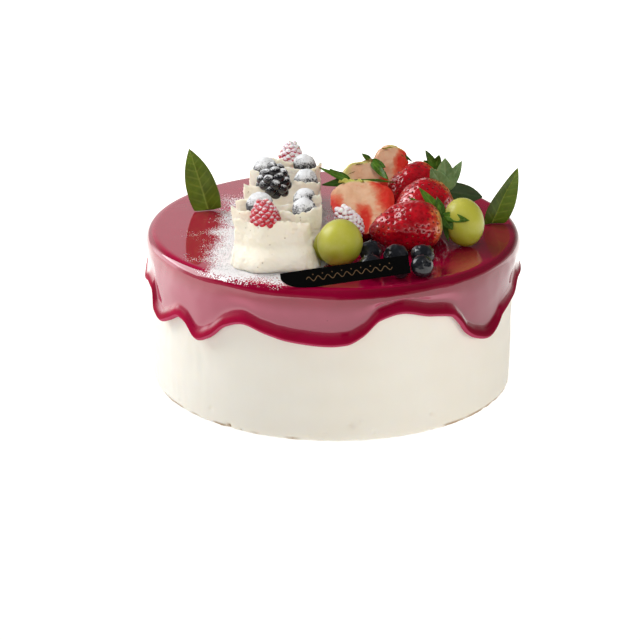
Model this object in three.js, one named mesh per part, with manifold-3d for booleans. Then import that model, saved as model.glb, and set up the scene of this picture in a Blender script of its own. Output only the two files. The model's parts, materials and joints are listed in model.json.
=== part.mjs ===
// Round cream cake under a dripping berry glaze, with piped cream, fresh fruit,
// two upright leaves and a thin dark chocolate plaque on top.
// Millimetres, +Z up, origin at the centre of the underside. The shown side faces -Y.

import * as THREE from 'three';
import { mergeVertices } from 'three/addons/utils/BufferGeometryUtils.js';
import Module from 'manifold-3d';

const wasm = await Module();
wasm.setup();

// ---------- driving dimensions ----------

const GAP = 0.3;                       // left between pieces that touch
const FOOD_GROWTH = 0.35;              // how far a fruit is grown before it cuts its seat
const CALYX_GROWTH = 0.6;              // the same where it trims a calyx

const CAKE_RADIUS = 100;
const CAKE_HEIGHT = 84.7;
const CAKE_FOOT_ROUND = 1.6;
const CAKE_TOP_ROUND = 5;

const GLAZE_TOP = 86.7;
const GLAZE_RADIUS = 102.5;            // outside of the skirt
const GLAZE_SHOULDER = 6.9;            // rounding between the top and the skirt
const GLAZE_BEAD = 0.9;                // how far the rounded lower lip stands proud of the skirt
const GLAZE_BEAD_HEIGHT = 6.5;         // where the skirt starts to swell into the lip
const GLAZE_LIP_ROUND = 1.2;
const GLAZE_SEGMENTS = 96;
const SEAT = GLAZE_TOP + GAP;          // level on which the toppings rest

// Lower edge of the glaze: azimuth in degrees from +X, height of each turning point.
const DRIPS = [
  [5, 62], [18, 50], [32, 66], [48, 54], [62, 68], [80, 47], [95, 63], [112, 56], [128, 68],
  [142, 49], [155, 60], [168, 66], [184, 57], [193.5, 65], [204.5, 46], [216.5, 55.3],
  [226, 47], [242.5, 63], [258, 56], [271, 54.4], [290, 70.5], [308, 64], [324, 43.8],
  [340, 53], [350, 55],
];

// Piped cream: a bed with folds piped across it, listed from the front to the back.
const CREAM_BED = { front: -66, back: 46, left: -49, right: -10, height: 13 };
const FOLD_FOOT = 9.5;                 // half thickness at the foot
const FOLD_WAVE = 0.9;                 // how far the crest rises and falls
// Section of a fold below its crest, from the front foot to the back foot:
// [offset as a share of the foot, height]
const FOLD_FRONT = [[-1, 0], [-1.08, 4], [-0.8, 9.5], [-0.4, 12]];
const FOLD_BACK = [[0.45, 13], [1, 0]];
const FOLD_CREST = 1.1;                // half thickness of the crest
// middle x and y of the crest, half width, crest height above the seat, bow to the front,
// turn in degrees, how much wider the foot is than the crest on each side
const FOLDS = [
  [-32.0, -68.5, 20.3, 24.0, 8, 1, 3.5],
  [-30.0, -55.2, 24.5, 26.4, 8, 1, -2.5],
  [-29.0, -38.5, 23.5, 26.2, 8, 4, -2],
  [-27.5, -7.5, 21.5, 25.4, 3, 16, -2],
  [-26.5, 21.5, 20.5, 26.0, 3, 10, -1],
  [-27.5, 36.5, 14.5, 26.2, 4, 3, 1],
  [-25.5, 49.0, 10.0, 19.0, 2, 0, 2],
];

// Fruit: name, centre, radius or radii, then the direction of the stem end.
const SUGARED_BLUEBERRIES = [
  [[-38.8, 29.5, 110.4], 6.7, [-0.5, 0.4, 0.7]],
  [[-16.3, 35.0, 110.6], 6.6, [0.4, 0.3, 0.8]],
  [[-15.3, 6.0, 110.8], 6.8, [0.5, -0.3, 0.5]],
  [[-15.7, -28.5, 111.5], 6.3, [-0.4, 0.5, 0.6]],
  [[-15.9, -44.6, 110.4], 7.0, [0.8, -0.2, 0.3]],
  [[-39.6, -37.5, 110.5], 7.4, [-0.3, 0.1, 0.9]],
];
const BLUEBERRIES = [
  ['a', [19.9, -60.4, 92.9], 6.4, [0.3, 0.2, 0.9]],
  ['b', [33.1, -70.0, 93.7], 6.9, [-0.7, -0.5, 0.5]],
  ['c', [47.2, -68.6, 93.6], 6.6, [0.6, 0.6, 0.4]],
  ['d', [46.6, -81.1, 92.7], 6.0, [0.4, -0.6, 0.5]],
  ['e', [19.6, -81.8, 92.8], 6.3, [-0.2, 0.3, 0.9]],
  ['f', [35.2, -83.0, 92.1], 5.3, [0.7, -0.6, 0.2]],
];
const GRAPES = [
  ['front', [3.6, -66.3, 99.9], 12.0, 12.9, [0.3, -0.2, 1]],
  ['right', [70.6, -31.6, 100.2], 10.9, 13.4, [-0.25, 0.1, 1]],
  ['small', [-4.1, -58.6, 95.4], 6.5, 8.2, [0, 0, 1]],
];
const RASPBERRIES = [
  ['front', [-35.9, -61.8, 112.2], 8.9, 19.5, [0.12, -0.1, -1]],
  ['rear', [-24.8, 47.0, 113.2], 7.4, 16.5, [-0.1, 0.2, -1]],
  ['side', [8.3, -38.2, 100.8], 8.4, 23, [0.42, 0.1, -0.9]],
];
const BRAMBLE = { centre: [-32.8, -5.0, 114.2], radius: 10.2, length: 20.5, stem: [-0.1, -0.1, -1] };

// Strawberries: name, centre, radius, length, direction of the stem end, and for a half
// the direction that its cut face looks in.
const STRAWBERRIES = [
  ['front', [38.9, -38.6, 99.6], 13.2, 40, [0.97, 0.02, 0.2]],
  ['middle', [48.2, -11.0, 100.6], 14.4, 35.5, [0.66, 0.52, 0.42]],
  ['rear', [43.4, 27.2, 100.9], 11.5, 34, [0.78, 0.45, 0.38]],
  ['half_front', [16.4, -17.5, 103.2], 17.5, 38, [-0.06, 0.84, 0.54], [0.02, -0.54, 0.84]],
  ['half_middle', [17.4, 18.0, 101.7], 14.2, 32, [-0.16, 0.5, 0.86], [0.02, -0.87, 0.5]],
  ['half_rear', [30.2, 39.0, 103.4], 10.8, 36, [0.3, 0.36, 0.9], [-0.05, -0.92, 0.4]],
];

// Each calyx: where its button sits, the way its sepals' faces look, and the sepals as
// [direction, length, half width].
const CALYXES = {
  front: [[58.6, -35.2, 105.0], [0.2, -0.9, 0.3], [
    [[-0.64, 0.42, 0.64], 19.5, 2.8], [[-0.84, 0.3, 0.36], 21, 1.8], [[-0.3, 0.5, 0.82], 10.5, 2.6],
    [[0.84, -0.54, 0.02], 17, 2.6], [[0.5, -0.65, -0.55], 11, 3.2], [[0.22, -0.36, -0.92], 17, 1.5],
  ]],
  middle: [[61.6, -2.2, 108.2], [-0.1, -0.9, 0.35], [
    [[0.1, 0.2, 0.97], 18.5, 4.6], [[0.48, 0.4, 0.78], 19, 3.4], [[0.97, 0.2, -0.16], 23, 5.4],
    [[-0.74, 0.1, 0.66], 15.5, 4.2], [[0.5, 0.8, 0.1], 10, 2.6],
  ]],
  rear: [[57.4, 35.2, 109.4], [0.1, -0.8, 0.5], [
    [[-0.5, 0.1, 0.86], 12, 2.4], [[0.26, 0, 0.97], 8.5, 2.6], [[0.95, -0.2, 0], 6, 2.4],
    [[-0.82, 0.2, 0.46], 10, 2.2],
  ]],
  half_front: [[9.4, 0.6, 112.4], [0, -0.6, 0.8], [
    [[-0.84, 0.46, 0.3], 14, 2.2], [[-0.93, 0.12, 0.32], 19, 2.0], [[-0.97, -0.1, -0.16], 16, 2.8],
    [[0.99, 0.1, 0.02], 17, 1.6],
  ]],
  half_middle: [[20.8, 26.8, 116.2], [0, -0.8, 0.5], [
    [[-0.72, 0.2, 0.5], 6.5, 1.6], [[0.56, -0.66, -0.46], 18, 2.4], [[0.84, -0.4, -0.3], 10, 2.4],
    [[-0.9, -0.2, -0.3], 11, 2.4],
  ]],
  half_rear: [[34.4, 45.6, 118.0], [0, -0.8, 0.5], [
    [[-0.88, -0.3, 0], 9, 1.8], [[0.8, -0.1, -0.56], 14, 1.8],
  ]],
};
const SEPAL_THICKNESS = 0.5;           // half thickness along the midrib
const CALYX_BUTTON = 2;                // radius of the button that the sepals grow from

// Upright leaves pushed into the cake: the foot is cut wide, the tip is pointed.
const LEAVES = [
  ['left', [-71.2, 25.0, SEAT - 1], 38.5, 9.2, [-0.26, 0, 1], [0.1, -1, 0]],
  ['right', [88.2, 5.5, SEAT - 2], 38.5, 8.8, [0.4, 0, 1], [0.35, -1, 0]],
];
const LEAF_FOOT = 0.78;                // width of a leaf's foot, of its widest
const LEAF_THICKNESS = 0.6;            // half thickness along the midrib

const PLAQUE = {
  length: 67, height: 9.5, thickness: 1.3, corner: [17, 6.4],
  lowest: [-9.0, -95.8, SEAT + 0.7], roll: 7.6, lean: 26, yaw: 3.4,
};

// ---------- materials ----------

function material(colour, roughness) {
  return new THREE.MeshStandardMaterial({ color: colour, roughness, metalness: 0 });
}

const CREAM = material(0xf4ecdd, 0.6);
const PIPED = material(0xf6f0e2, 0.65);
const GLAZE = material(0xa3123f, 0.08);
const BLUEBERRY = material(0x23242c, 0.45);
const SUGARED = material(0xb9bcc4, 0.8);
const GRAPE = material(0xb4b23c, 0.35);
const RASPBERRY = material(0xb8283c, 0.45);
const BRAMBLE_SKIN = material(0x26222a, 0.35);
const STRAWBERRY = material(0xc4161c, 0.2);
const GREEN = material(0x35581f, 0.5);
const CHOCOLATE = material(0x0d0b0b, 0.4);

// ---------- small tools ----------

const radians = THREE.MathUtils.degToRad;

function vector(list) {
  return new THREE.Vector3(...list);
}

// One closed skin: shared points merged, and triangles that have shrunk to a line dropped.
function welded(geometry) {
  const bare = new THREE.BufferGeometry();
  bare.setAttribute('position', geometry.getAttribute('position').clone());
  if (geometry.index) bare.setIndex(geometry.index.clone());
  const merged = mergeVertices(bare, 1e-4);
  const index = merged.index.array;
  const kept = [];
  for (let i = 0; i < index.length; i += 3) {
    const [a, b, c] = [index[i], index[i + 1], index[i + 2]];
    if (a !== b && b !== c && c !== a) kept.push(a, b, c);
  }
  merged.setIndex(kept);
  return merged;
}

function signedVolume(geometry) {
  const position = geometry.getAttribute('position');
  const index = geometry.index.array;
  const corner = [new THREE.Vector3(), new THREE.Vector3(), new THREE.Vector3()];
  let volume = 0;
  for (let i = 0; i < index.length; i += 3) {
    corner.forEach((point, k) => point.fromBufferAttribute(position, index[i + k]));
    volume += corner[0].dot(corner[1].cross(corner[2])) / 6;
  }
  return volume;
}

// Turns the skin so that its faces look outwards.
function outward(geometry) {
  if (signedVolume(geometry) > 0) return geometry;
  const index = Array.from(geometry.index.array);
  for (let i = 0; i < index.length; i += 3) {
    [index[i + 1], index[i + 2]] = [index[i + 2], index[i + 1]];
  }
  geometry.setIndex(index);
  return geometry;
}

// A solid from equal rings of points, closed by one point before the first and after the last.
function ringedSolid(rings, firstPole, lastPole) {
  const around = rings[0].length;
  const points = [firstPole, ...rings.flat(), lastPole];
  const last = points.length - 1;
  const index = [];
  for (let j = 0; j < around; j++) {
    const next = (j + 1) % around;
    index.push(0, 1 + next, 1 + j);
    for (let i = 0; i < rings.length - 1; i++) {
      const low = 1 + i * around;
      const high = low + around;
      index.push(low + j, low + next, high + next);
      index.push(low + j, high + next, high + j);
    }
    index.push(last, last - around + j, last - around + next);
  }
  const geometry = new THREE.BufferGeometry().setFromPoints(points);
  geometry.setIndex(index);
  return outward(welded(geometry));
}

// A solid of revolution about Z from [radius, z] points that start and end on the axis.
function turned(profile, segments) {
  const points = profile.map(([r, z]) => new THREE.Vector2(r, z));
  const geometry = new THREE.LatheGeometry(points, segments);
  geometry.rotateX(Math.PI / 2);
  return outward(welded(geometry));
}

function displaced(geometry, move) {
  const position = geometry.getAttribute('position');
  const point = new THREE.Vector3();
  for (let i = 0; i < position.count; i++) {
    point.fromBufferAttribute(position, i);
    move(point);
    position.setXYZ(i, point.x, point.y, point.z);
  }
  return geometry;
}

// The same skin moved outwards along its normals.
function grown(geometry, distance) {
  const copy = geometry.clone();
  copy.computeVertexNormals();
  const position = copy.getAttribute('position');
  const normal = copy.getAttribute('normal');
  for (let i = 0; i < position.count; i++) {
    position.setXYZ(
      i,
      position.getX(i) + normal.getX(i) * distance,
      position.getY(i) + normal.getY(i) * distance,
      position.getZ(i) + normal.getZ(i) * distance,
    );
  }
  return copy;
}

function solidOf(geometry) {
  return new wasm.Manifold(new wasm.Mesh({
    numProp: 3,
    vertProperties: new Float32Array(geometry.getAttribute('position').array),
    triVerts: new Uint32Array(geometry.index.array),
  }));
}

function geometryOf(solid) {
  const mesh = solid.getMesh();
  const geometry = new THREE.BufferGeometry();
  geometry.setAttribute('position', new THREE.BufferAttribute(mesh.vertProperties, 3));
  geometry.setIndex(Array.from(mesh.triVerts));
  return geometry;
}

function joined(geometries) {
  const solids = geometries.map(solidOf);
  return geometryOf(solids.slice(1).reduce((sum, next) => sum.add(next), solids[0]));
}

// The largest body of a cut, without the crumbs that a cut can leave.
function largestBody(solid) {
  const bodies = solid.decompose();
  return bodies.reduce((best, next) => (next.volume() > best.volume() ? next : best));
}

// Cuts the grown shapes of other meshes out of this mesh, each where it stands.
function makeRoom(mesh, neighbours, growth = FOOD_GROWTH) {
  mesh.updateMatrix();
  const toMesh = mesh.matrix.clone().invert();
  let solid = solidOf(mesh.geometry);
  for (const neighbour of neighbours) {
    neighbour.updateMatrix();
    const cutter = grown(neighbour.userData.seat ?? neighbour.geometry, growth);
    cutter.applyMatrix4(neighbour.matrix).applyMatrix4(toMesh);
    solid = solid.subtract(solidOf(cutter));
  }
  mesh.geometry = geometryOf(largestBody(solid));
}

// Turns +Z to the stem direction, and +Y as nearly as it can to the facing direction.
function aim(mesh, stem, facing) {
  const z = vector(stem).normalize();
  const x = vector(facing).cross(z).normalize();
  const y = z.clone().cross(x);
  mesh.quaternion.setFromRotationMatrix(new THREE.Matrix4().makeBasis(x, y, z));
}

function piece(name, geometry, look, centre = [0, 0, 0], stem = [0, 0, 1], facing = [0, 1, 0]) {
  const mesh = new THREE.Mesh(geometry, look);
  mesh.name = name;
  mesh.position.set(...centre);
  aim(mesh, stem, facing);
  return mesh;
}

// ---------- cake and glaze ----------

function quarterRound(radius, height, round, steps) {
  const points = [];
  for (let i = 0; i <= steps; i++) {
    const angle = (i / steps) * (Math.PI / 2);
    points.push([radius - round + round * Math.cos(angle), height - round + round * Math.sin(angle)]);
  }
  return points;
}

function cakeBody() {
  const foot = CAKE_FOOT_ROUND;
  const profile = [
    [0, 0],
    [CAKE_RADIUS - foot, 0],
    [CAKE_RADIUS, foot],
    ...quarterRound(CAKE_RADIUS, CAKE_HEIGHT, CAKE_TOP_ROUND, 3),
    [0, CAKE_HEIGHT],
  ];
  return turned(profile, 72);
}

// Height of the glaze's lower edge at an azimuth, eased from one turning point to the next.
function dripEdge(azimuth) {
  const count = DRIPS.length;
  for (let i = 0; i < count; i++) {
    const [from, low] = DRIPS[i];
    const [next, high] = DRIPS[(i + 1) % count];
    const span = (next - from + 360) % 360;
    const along = (azimuth - from + 720) % 360;
    if (along <= span) {
      const ease = (1 - Math.cos((Math.PI * along) / span)) / 2;
      return low + (high - low) * ease;
    }
  }
  return DRIPS[0][1];
}

// The glaze's section at one azimuth, from the top outside, round the lip, to the top inside.
function glazeSection(edge) {
  const bead = GLAZE_RADIUS + GLAZE_BEAD;
  const inner = CAKE_RADIUS + GAP;
  const shoulder = quarterRound(GLAZE_RADIUS, GLAZE_TOP, GLAZE_SHOULDER, 3).reverse();
  const inside = quarterRound(inner, CAKE_HEIGHT + GAP, CAKE_TOP_ROUND, 2);
  return [
    ...shoulder,
    [GLAZE_RADIUS, edge + GLAZE_BEAD_HEIGHT],
    [bead, edge + 2 * GLAZE_LIP_ROUND],
    [bead, edge + GLAZE_LIP_ROUND],
    [bead - GLAZE_LIP_ROUND, edge],
    [inner, edge + GAP],
    ...inside,
  ];
}

function glaze() {
  const rings = [];
  for (let j = 0; j < GLAZE_SEGMENTS; j++) {
    const azimuth = (360 * j) / GLAZE_SEGMENTS;
    const [cos, sin] = [Math.cos(radians(azimuth)), Math.sin(radians(azimuth))];
    glazeSection(dripEdge(azimuth)).forEach(([r, z], i) => {
      rings[i] = rings[i] ?? [];
      rings[i].push(new THREE.Vector3(r * cos, r * sin, z));
    });
  }
  const top = new THREE.Vector3(0, 0, GLAZE_TOP);
  const under = new THREE.Vector3(0, 0, CAKE_HEIGHT + GAP);
  return ringedSolid(rings, top, under);
}

// ---------- piped cream ----------

// One fold: a blade that is thick at the foot and thin at its crest, bowed to the front.
function creamFold([x, y, halfWidth, height, bow, turn, flare], order) {
  const steps = 8;
  const rings = [];
  for (let i = 0; i <= steps; i++) {
    const side = (2 * i) / steps - 1;
    const wave = FOLD_WAVE * Math.sin(side * 5.2 + order * 2.1);
    const crest = height + wave;
    const foot = FOLD_FOOT * Math.max(0.45, Math.sqrt(1 - Math.abs(side) ** 5));
    const back = bow * side * side + wave;
    const section = [
      ...FOLD_FRONT.map(([share, z]) => [share * foot, z]),
      [-FOLD_CREST, crest],
      [FOLD_CREST, crest],
      ...FOLD_BACK.map(([share, z]) => [share * foot, z]),
    ];
    rings.push(section.map(([offset, z]) => {
      const reach = halfWidth + flare * (1 - z / height) ** 2;
      return new THREE.Vector3(side * reach, back + offset, z);
    }));
  }
  const middle = (ring) => {
    const sum = ring.reduce((total, point) => total.add(point), new THREE.Vector3());
    return sum.divideScalar(ring.length);
  };
  const solid = ringedSolid(rings, middle(rings[0]), middle(rings[steps]));
  solid.rotateZ(radians(turn));
  return solid.translate(x, y, SEAT);
}

function creamBed() {
  const { front, back, left, right, height } = CREAM_BED;
  const [halfLength, halfWidth] = [(back - front) / 2, (right - left) / 2];
  const bed = turned([[0, 0], [1, 0], [1.02, 0.4], [0.86, 0.9], [0.6, 1], [0, 1]], 20);
  bed.applyMatrix4(new THREE.Matrix4().makeScale(halfWidth, halfLength, height));
  return bed.translate((left + right) / 2, (front + back) / 2, SEAT);
}

function pipedCream() {
  return joined([creamBed(), ...FOLDS.map(creamFold)]);
}

// ---------- fruit ----------

// Half outline of an egg-shaped or round fruit, from pole to pole.
function ovalProfile(radius, halfLength, rows) {
  const points = [];
  for (let i = 0; i <= rows; i++) {
    const angle = (Math.PI * i) / rows;
    points.push([radius * Math.sin(angle), -halfLength * Math.cos(angle)]);
  }
  points[0][0] = 0;
  points[rows][0] = 0;
  return points;
}

function grape(radius, halfLength) {
  return turned(ovalProfile(radius, halfLength, 8), 12);
}

// A flattened ball with the raised ring and dimple that a blueberry has at its flower end.
function blueberry(radius) {
  const profile = ovalProfile(radius, radius * 0.9, 8).slice(0, -2);
  profile.push([radius * 0.46, radius * 0.82]);
  profile.push([radius * 0.36, radius * 1.0]);
  profile.push([radius * 0.2, radius * 0.84]);
  profile.push([0, radius * 0.78]);
  return turned(profile, 10);
}

// A cone of small round drupelets: each one is a raised point between lowered ones.
function drupeletBerry(radius, length, around, rows, depth) {
  const profile = [];
  for (let i = 0; i <= rows; i++) {
    const t = i / rows;
    const width = Math.sin(Math.PI * Math.min(1, 0.12 + 0.88 * t)) ** 0.55;
    const taper = 0.62 + 0.38 * Math.min(1, t * 1.5);
    profile.push([i === 0 || i === rows ? 0 : radius * width * taper, length * (t - 0.5)]);
  }
  const berry = turned(profile, around);
  const rowHeight = length / rows;
  const step = (2 * Math.PI) / around;
  return displaced(berry, (point) => {
    const reach = Math.hypot(point.x, point.y);
    if (reach < 1e-6) return;
    const row = Math.round((point.z + length / 2) / rowHeight);
    const column = Math.round(Math.atan2(point.y, point.x) / step + around);
    const raised = row % 2 === 1 && (column + (row - 1) / 2) % 2 === 0;
    const scale = raised ? 1 + depth / reach : 1 - depth / reach;
    point.x *= scale;
    point.y *= scale;
  });
}

// The smooth hollow that such a berry presses into soft cream.
function berrySeat(radius, length) {
  return turned(ovalProfile(radius * 1.05, length * 0.52, 6), 10);
}

// Heart-shaped profile: round shoulder at the stem end, narrowing to a blunt tip.
function strawberryBody(radius, length) {
  const [shoulder, tip] = [0.40, 0.62];
  const widest = shoulder / (shoulder + tip);
  const norm = widest ** shoulder * (1 - widest) ** tip;
  const rows = 10;
  const profile = [];
  for (let i = 0; i <= rows; i++) {
    const t = (1 - Math.cos((Math.PI * i) / rows)) / 2;
    const width = (t ** shoulder * (1 - t) ** tip) / norm;
    profile.push([i === 0 || i === rows ? 0 : radius * width, length * (0.5 - t)]);
  }
  return turned(profile, 16);
}

// The same fruit cut through its axis, keeping the part behind the cut face.
function strawberryHalf(radius, length) {
  const reach = 3 * length;
  const front = new THREE.BoxGeometry(reach, reach, reach).translate(0, reach / 2, 0);
  return geometryOf(solidOf(strawberryBody(radius, length)).subtract(solidOf(welded(front))));
}

// ---------- leaves ----------

// Half width of a leaf along its length, of 1: from its foot over its widest part to the tip.
function leafOutline(t, foot, widest) {
  if (t < widest) return foot + (1 - foot) * Math.sin((Math.PI / 2) * (t / widest)) ** 0.8;
  return Math.cos((Math.PI / 2) * ((t - widest) / (1 - widest))) ** 0.85;
}

// A thin wavy leaf along +Z that faces +Y. Its two faces share one grid of points and are
// split alike; they meet at the border and stand apart by the thickness inside it.
function leafSolid({ length, halfWidth, foot, thickness, rows, columns, curl, wave, fold }) {
  const points = [];
  const faces = [[], []];
  const grid = [[], []];
  for (let i = 0; i <= rows; i++) {
    grid.forEach((side) => side.push([]));
    for (let j = 0; j <= columns; j++) {
      const [t, s] = [i / rows, (2 * j) / columns - 1];
      const width = halfWidth * leafOutline(t, foot, 0.36);
      const y = curl * length * t * t + wave * Math.sin(9 * t + 2 * s) + fold * width * Math.abs(s);
      const border = i === 0 || i === rows || j === 0 || j === columns;
      const half = border ? 0 : thickness * (1 - 0.5 * Math.abs(s));
      [half, -half].forEach((offset, side) => {
        grid[side][i].push(border && side ? grid[0][i][j] : points.length);
        if (!(border && side)) points.push(new THREE.Vector3(s * width, y + offset, length * t));
      });
    }
  }
  grid.forEach((side, k) => {
    for (let i = 0; i < rows; i++) {
      for (let j = 0; j < columns; j++) {
        const [a, b] = [side[i][j], side[i][j + 1]];
        const [c, d] = [side[i + 1][j + 1], side[i + 1][j]];
        faces[k].push(...(k ? [a, b, c, a, c, d] : [a, c, b, a, d, c]));
      }
    }
  });
  const geometry = new THREE.BufferGeometry().setFromPoints(points);
  geometry.setIndex(faces.flat());
  return outward(welded(geometry));
}

// One sepal along its direction, with its face turned as nearly as it can to the look.
function sepal([direction, length, halfWidth], look) {
  const shape = leafSolid({
    length, halfWidth, foot: 0.3, thickness: SEPAL_THICKNESS, rows: 4, columns: 2,
    curl: 0.08, wave: 0.3, fold: 0.2,
  });
  const z = vector(direction).normalize();
  const x = vector(look).cross(z).normalize();
  const y = z.clone().cross(x);
  return shape.applyMatrix4(new THREE.Matrix4().makeBasis(x, y, z));
}

// A small stem button with its sepals.
function calyx(sepals, look) {
  const button = new THREE.SphereGeometry(CALYX_BUTTON, 5, 4);
  return joined([outward(welded(button)), ...sepals.map((entry) => sepal(entry, look))]);
}

// ---------- plaque ----------

// A thin slab seen from -Y, its lower left corner cut away in an arc.
function plaque() {
  const { length, height, thickness, corner, lowest, roll, lean, yaw } = PLAQUE;
  const [cornerLength, cornerHeight] = corner;
  const outline = new THREE.Shape();
  outline.moveTo(cornerLength, 0);
  outline.lineTo(length, 0);
  outline.lineTo(length, height);
  outline.lineTo(0, height);
  outline.lineTo(0, cornerHeight);
  outline.quadraticCurveTo(cornerLength * 0.15, cornerHeight * 0.1, cornerLength, 0);
  const slab = new THREE.ExtrudeGeometry(outline, {
    depth: thickness, bevelEnabled: false, curveSegments: 6,
  });
  slab.translate(-cornerLength, 0, -thickness);
  slab.rotateZ(radians(roll));
  slab.rotateX(radians(90 - lean));
  slab.rotateZ(radians(yaw));
  return outward(welded(slab)).translate(...lowest);
}

// ---------- assembly ----------

const cake = new THREE.Group();

const body = piece('cake_body', cakeBody(), CREAM);
const glazeMesh = piece('glaze', glaze(), GLAZE);

const sugared = SUGARED_BLUEBERRIES.map(([centre, radius, stem], i) => (
  piece(`sugared_blueberry_${i + 1}`, blueberry(radius), SUGARED, centre, stem)));
const blueberries = BLUEBERRIES.map(([name, centre, radius, stem]) => (
  piece(`blueberry_${name}`, blueberry(radius), BLUEBERRY, centre, stem)));
const grapes = GRAPES.map(([name, centre, radius, halfLength, stem]) => (
  piece(`grape_${name}`, grape(radius, halfLength), GRAPE, centre, stem)));
const raspberries = RASPBERRIES.map(([name, centre, radius, length, stem]) => {
  const berry = drupeletBerry(radius, length, 20, 12, 0.35);
  const mesh = piece(`raspberry_${name}`, berry, RASPBERRY, centre, stem);
  mesh.userData.seat = berrySeat(radius, length);
  return mesh;
});
const bramble = piece(
  'dark_bramble',
  drupeletBerry(BRAMBLE.radius, BRAMBLE.length, 16, 10, 0.6),
  BRAMBLE_SKIN,
  BRAMBLE.centre,
  BRAMBLE.stem,
);
bramble.userData.seat = berrySeat(BRAMBLE.radius, BRAMBLE.length);

const strawberries = STRAWBERRIES.map(([name, centre, radius, length, stem, facing]) => {
  const shape = facing ? strawberryHalf(radius, length) : strawberryBody(radius, length);
  return piece(`strawberry_${name}`, shape, STRAWBERRY, centre, stem, facing);
});

const calyxes = Object.entries(CALYXES).map(([name, [centre, look, sepals]]) => (
  piece(`calyx_${name}`, calyx(sepals, look), GREEN, centre)));

const cream = piece('piped_cream', pipedCream(), PIPED);
const plaqueMesh = piece('chocolate_plaque', plaque(), CHOCOLATE);

const leaves = LEAVES.map(([name, foot, length, halfWidth, along, facing]) => {
  const shape = leafSolid({
    length, halfWidth, foot: LEAF_FOOT, thickness: LEAF_THICKNESS, rows: 9, columns: 4,
    curl: 0.03, wave: 0.45, fold: 0.22,
  });
  return piece(`leaf_${name}`, shape, GREEN, foot, along, facing);
});

const [grapeFront, , grapeSmall] = grapes;
makeRoom(grapeSmall, [grapeFront]);
makeRoom(cream, [...sugared, ...raspberries, bramble, grapeFront, grapeSmall]);
const [front, middle, rear, halfFront, halfMiddle, halfRear] = strawberries;
makeRoom(halfRear, [rear, halfMiddle]);
makeRoom(halfMiddle, [rear]);
makeRoom(halfFront, [front, middle, halfMiddle]);
calyxes.forEach((mesh) => makeRoom(mesh, [...strawberries, ...grapes], CALYX_GROWTH));
leaves.forEach((mesh) => makeRoom(mesh, [glazeMesh]));

cake.add(body, glazeMesh, cream, plaqueMesh, bramble, ...leaves);
cake.add(...sugared, ...raspberries, ...blueberries, ...grapes, ...strawberries, ...calyxes);

export default cake;
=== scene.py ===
# Looks for the round cream cake: berry glaze, piped cream, fruit, leaves and plaque.
# Shapes are worked out in millimetres in the part's own frame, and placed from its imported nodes.

import json
import math

import bmesh
import bpy
import numpy as np
from mathutils import Matrix, Vector

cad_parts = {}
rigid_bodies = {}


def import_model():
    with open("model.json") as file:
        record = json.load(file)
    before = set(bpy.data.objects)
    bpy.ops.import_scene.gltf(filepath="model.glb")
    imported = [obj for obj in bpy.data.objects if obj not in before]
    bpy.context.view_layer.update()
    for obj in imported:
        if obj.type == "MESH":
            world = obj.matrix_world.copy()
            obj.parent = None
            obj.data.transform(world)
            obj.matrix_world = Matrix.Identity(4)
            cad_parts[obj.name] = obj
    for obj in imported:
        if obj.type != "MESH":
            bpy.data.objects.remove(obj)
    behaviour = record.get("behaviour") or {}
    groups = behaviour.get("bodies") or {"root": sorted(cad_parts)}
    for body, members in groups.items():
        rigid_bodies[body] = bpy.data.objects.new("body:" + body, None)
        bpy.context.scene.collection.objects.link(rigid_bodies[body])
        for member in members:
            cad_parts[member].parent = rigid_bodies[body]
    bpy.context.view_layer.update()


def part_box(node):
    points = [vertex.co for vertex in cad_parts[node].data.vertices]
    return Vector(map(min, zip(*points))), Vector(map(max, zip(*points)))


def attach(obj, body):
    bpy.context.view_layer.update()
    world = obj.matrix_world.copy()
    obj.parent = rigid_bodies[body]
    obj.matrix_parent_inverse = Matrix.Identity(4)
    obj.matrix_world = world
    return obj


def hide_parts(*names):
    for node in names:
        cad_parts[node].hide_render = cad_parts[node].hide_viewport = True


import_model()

MM = 0.001

# ---------- driving dimensions, in millimetres ----------

CAMERA_DISTANCE = 1300
CAMERA_ELEVATION = 20.91               # degrees, looking along +Y
CAMERA_PIVOT_HEIGHT = 40
CAMERA_AIM = (-7.0, 0, 30.4)
CAMERA_ROLL = 0.36
CAMERA_LENS = 130
CAMERA_SENSOR = 36

GLAZE_SHOULDER = 6.9                   # rounding between the top and the skirt
GLAZE_BEAD = 2.1                       # how far the lower lip stands proud of the skirt
GLAZE_DROP = 1.0                       # how much further it does at a hanging drop
GLAZE_BEAD_HEIGHT = 9.0                # where the skirt starts to swell into the lip
GLAZE_LIP = 2.3                        # radius of the lip
GLAZE_BELLY = 1.3                      # how far the skirt swells under the shoulder
GLAZE_SKIRT = 102.5                    # radius of the skirt
GLAZE_THICKNESS = 2.2
GLAZE_INNER = GLAZE_SKIRT - GLAZE_THICKNESS
GLAZE_BED = 1.7                        # how far its underside lies below its top

FLOOR_GLOW = 1.08                      # the white sweep that the cake stands on
WINDOW_GLOW = 1.8                      # a bright window low down behind on the left
WALL_GLOW = 0.66
ROOF_GLOW = 0.06
FLOOR_REACH = 6000.0                   # from the middle to each side
FLOOR_LEVEL = -0.1

# ---------- numbers and directions ----------


def unit(v):
    v = np.asarray(v, float)
    return v / np.linalg.norm(v)


def basis(stem, facing=(0, 1, 0)):
    """Rows that turn +Z to the stem and +Y, as nearly as it can be, to the facing direction."""
    z = unit(stem)
    x = unit(np.cross(facing, z))
    return np.array([x, np.cross(z, x), z])


def smooth(value, low, high):
    t = np.clip((value - low) / (high - low), 0, 1)
    return t * t * (3 - 2 * t)


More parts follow.
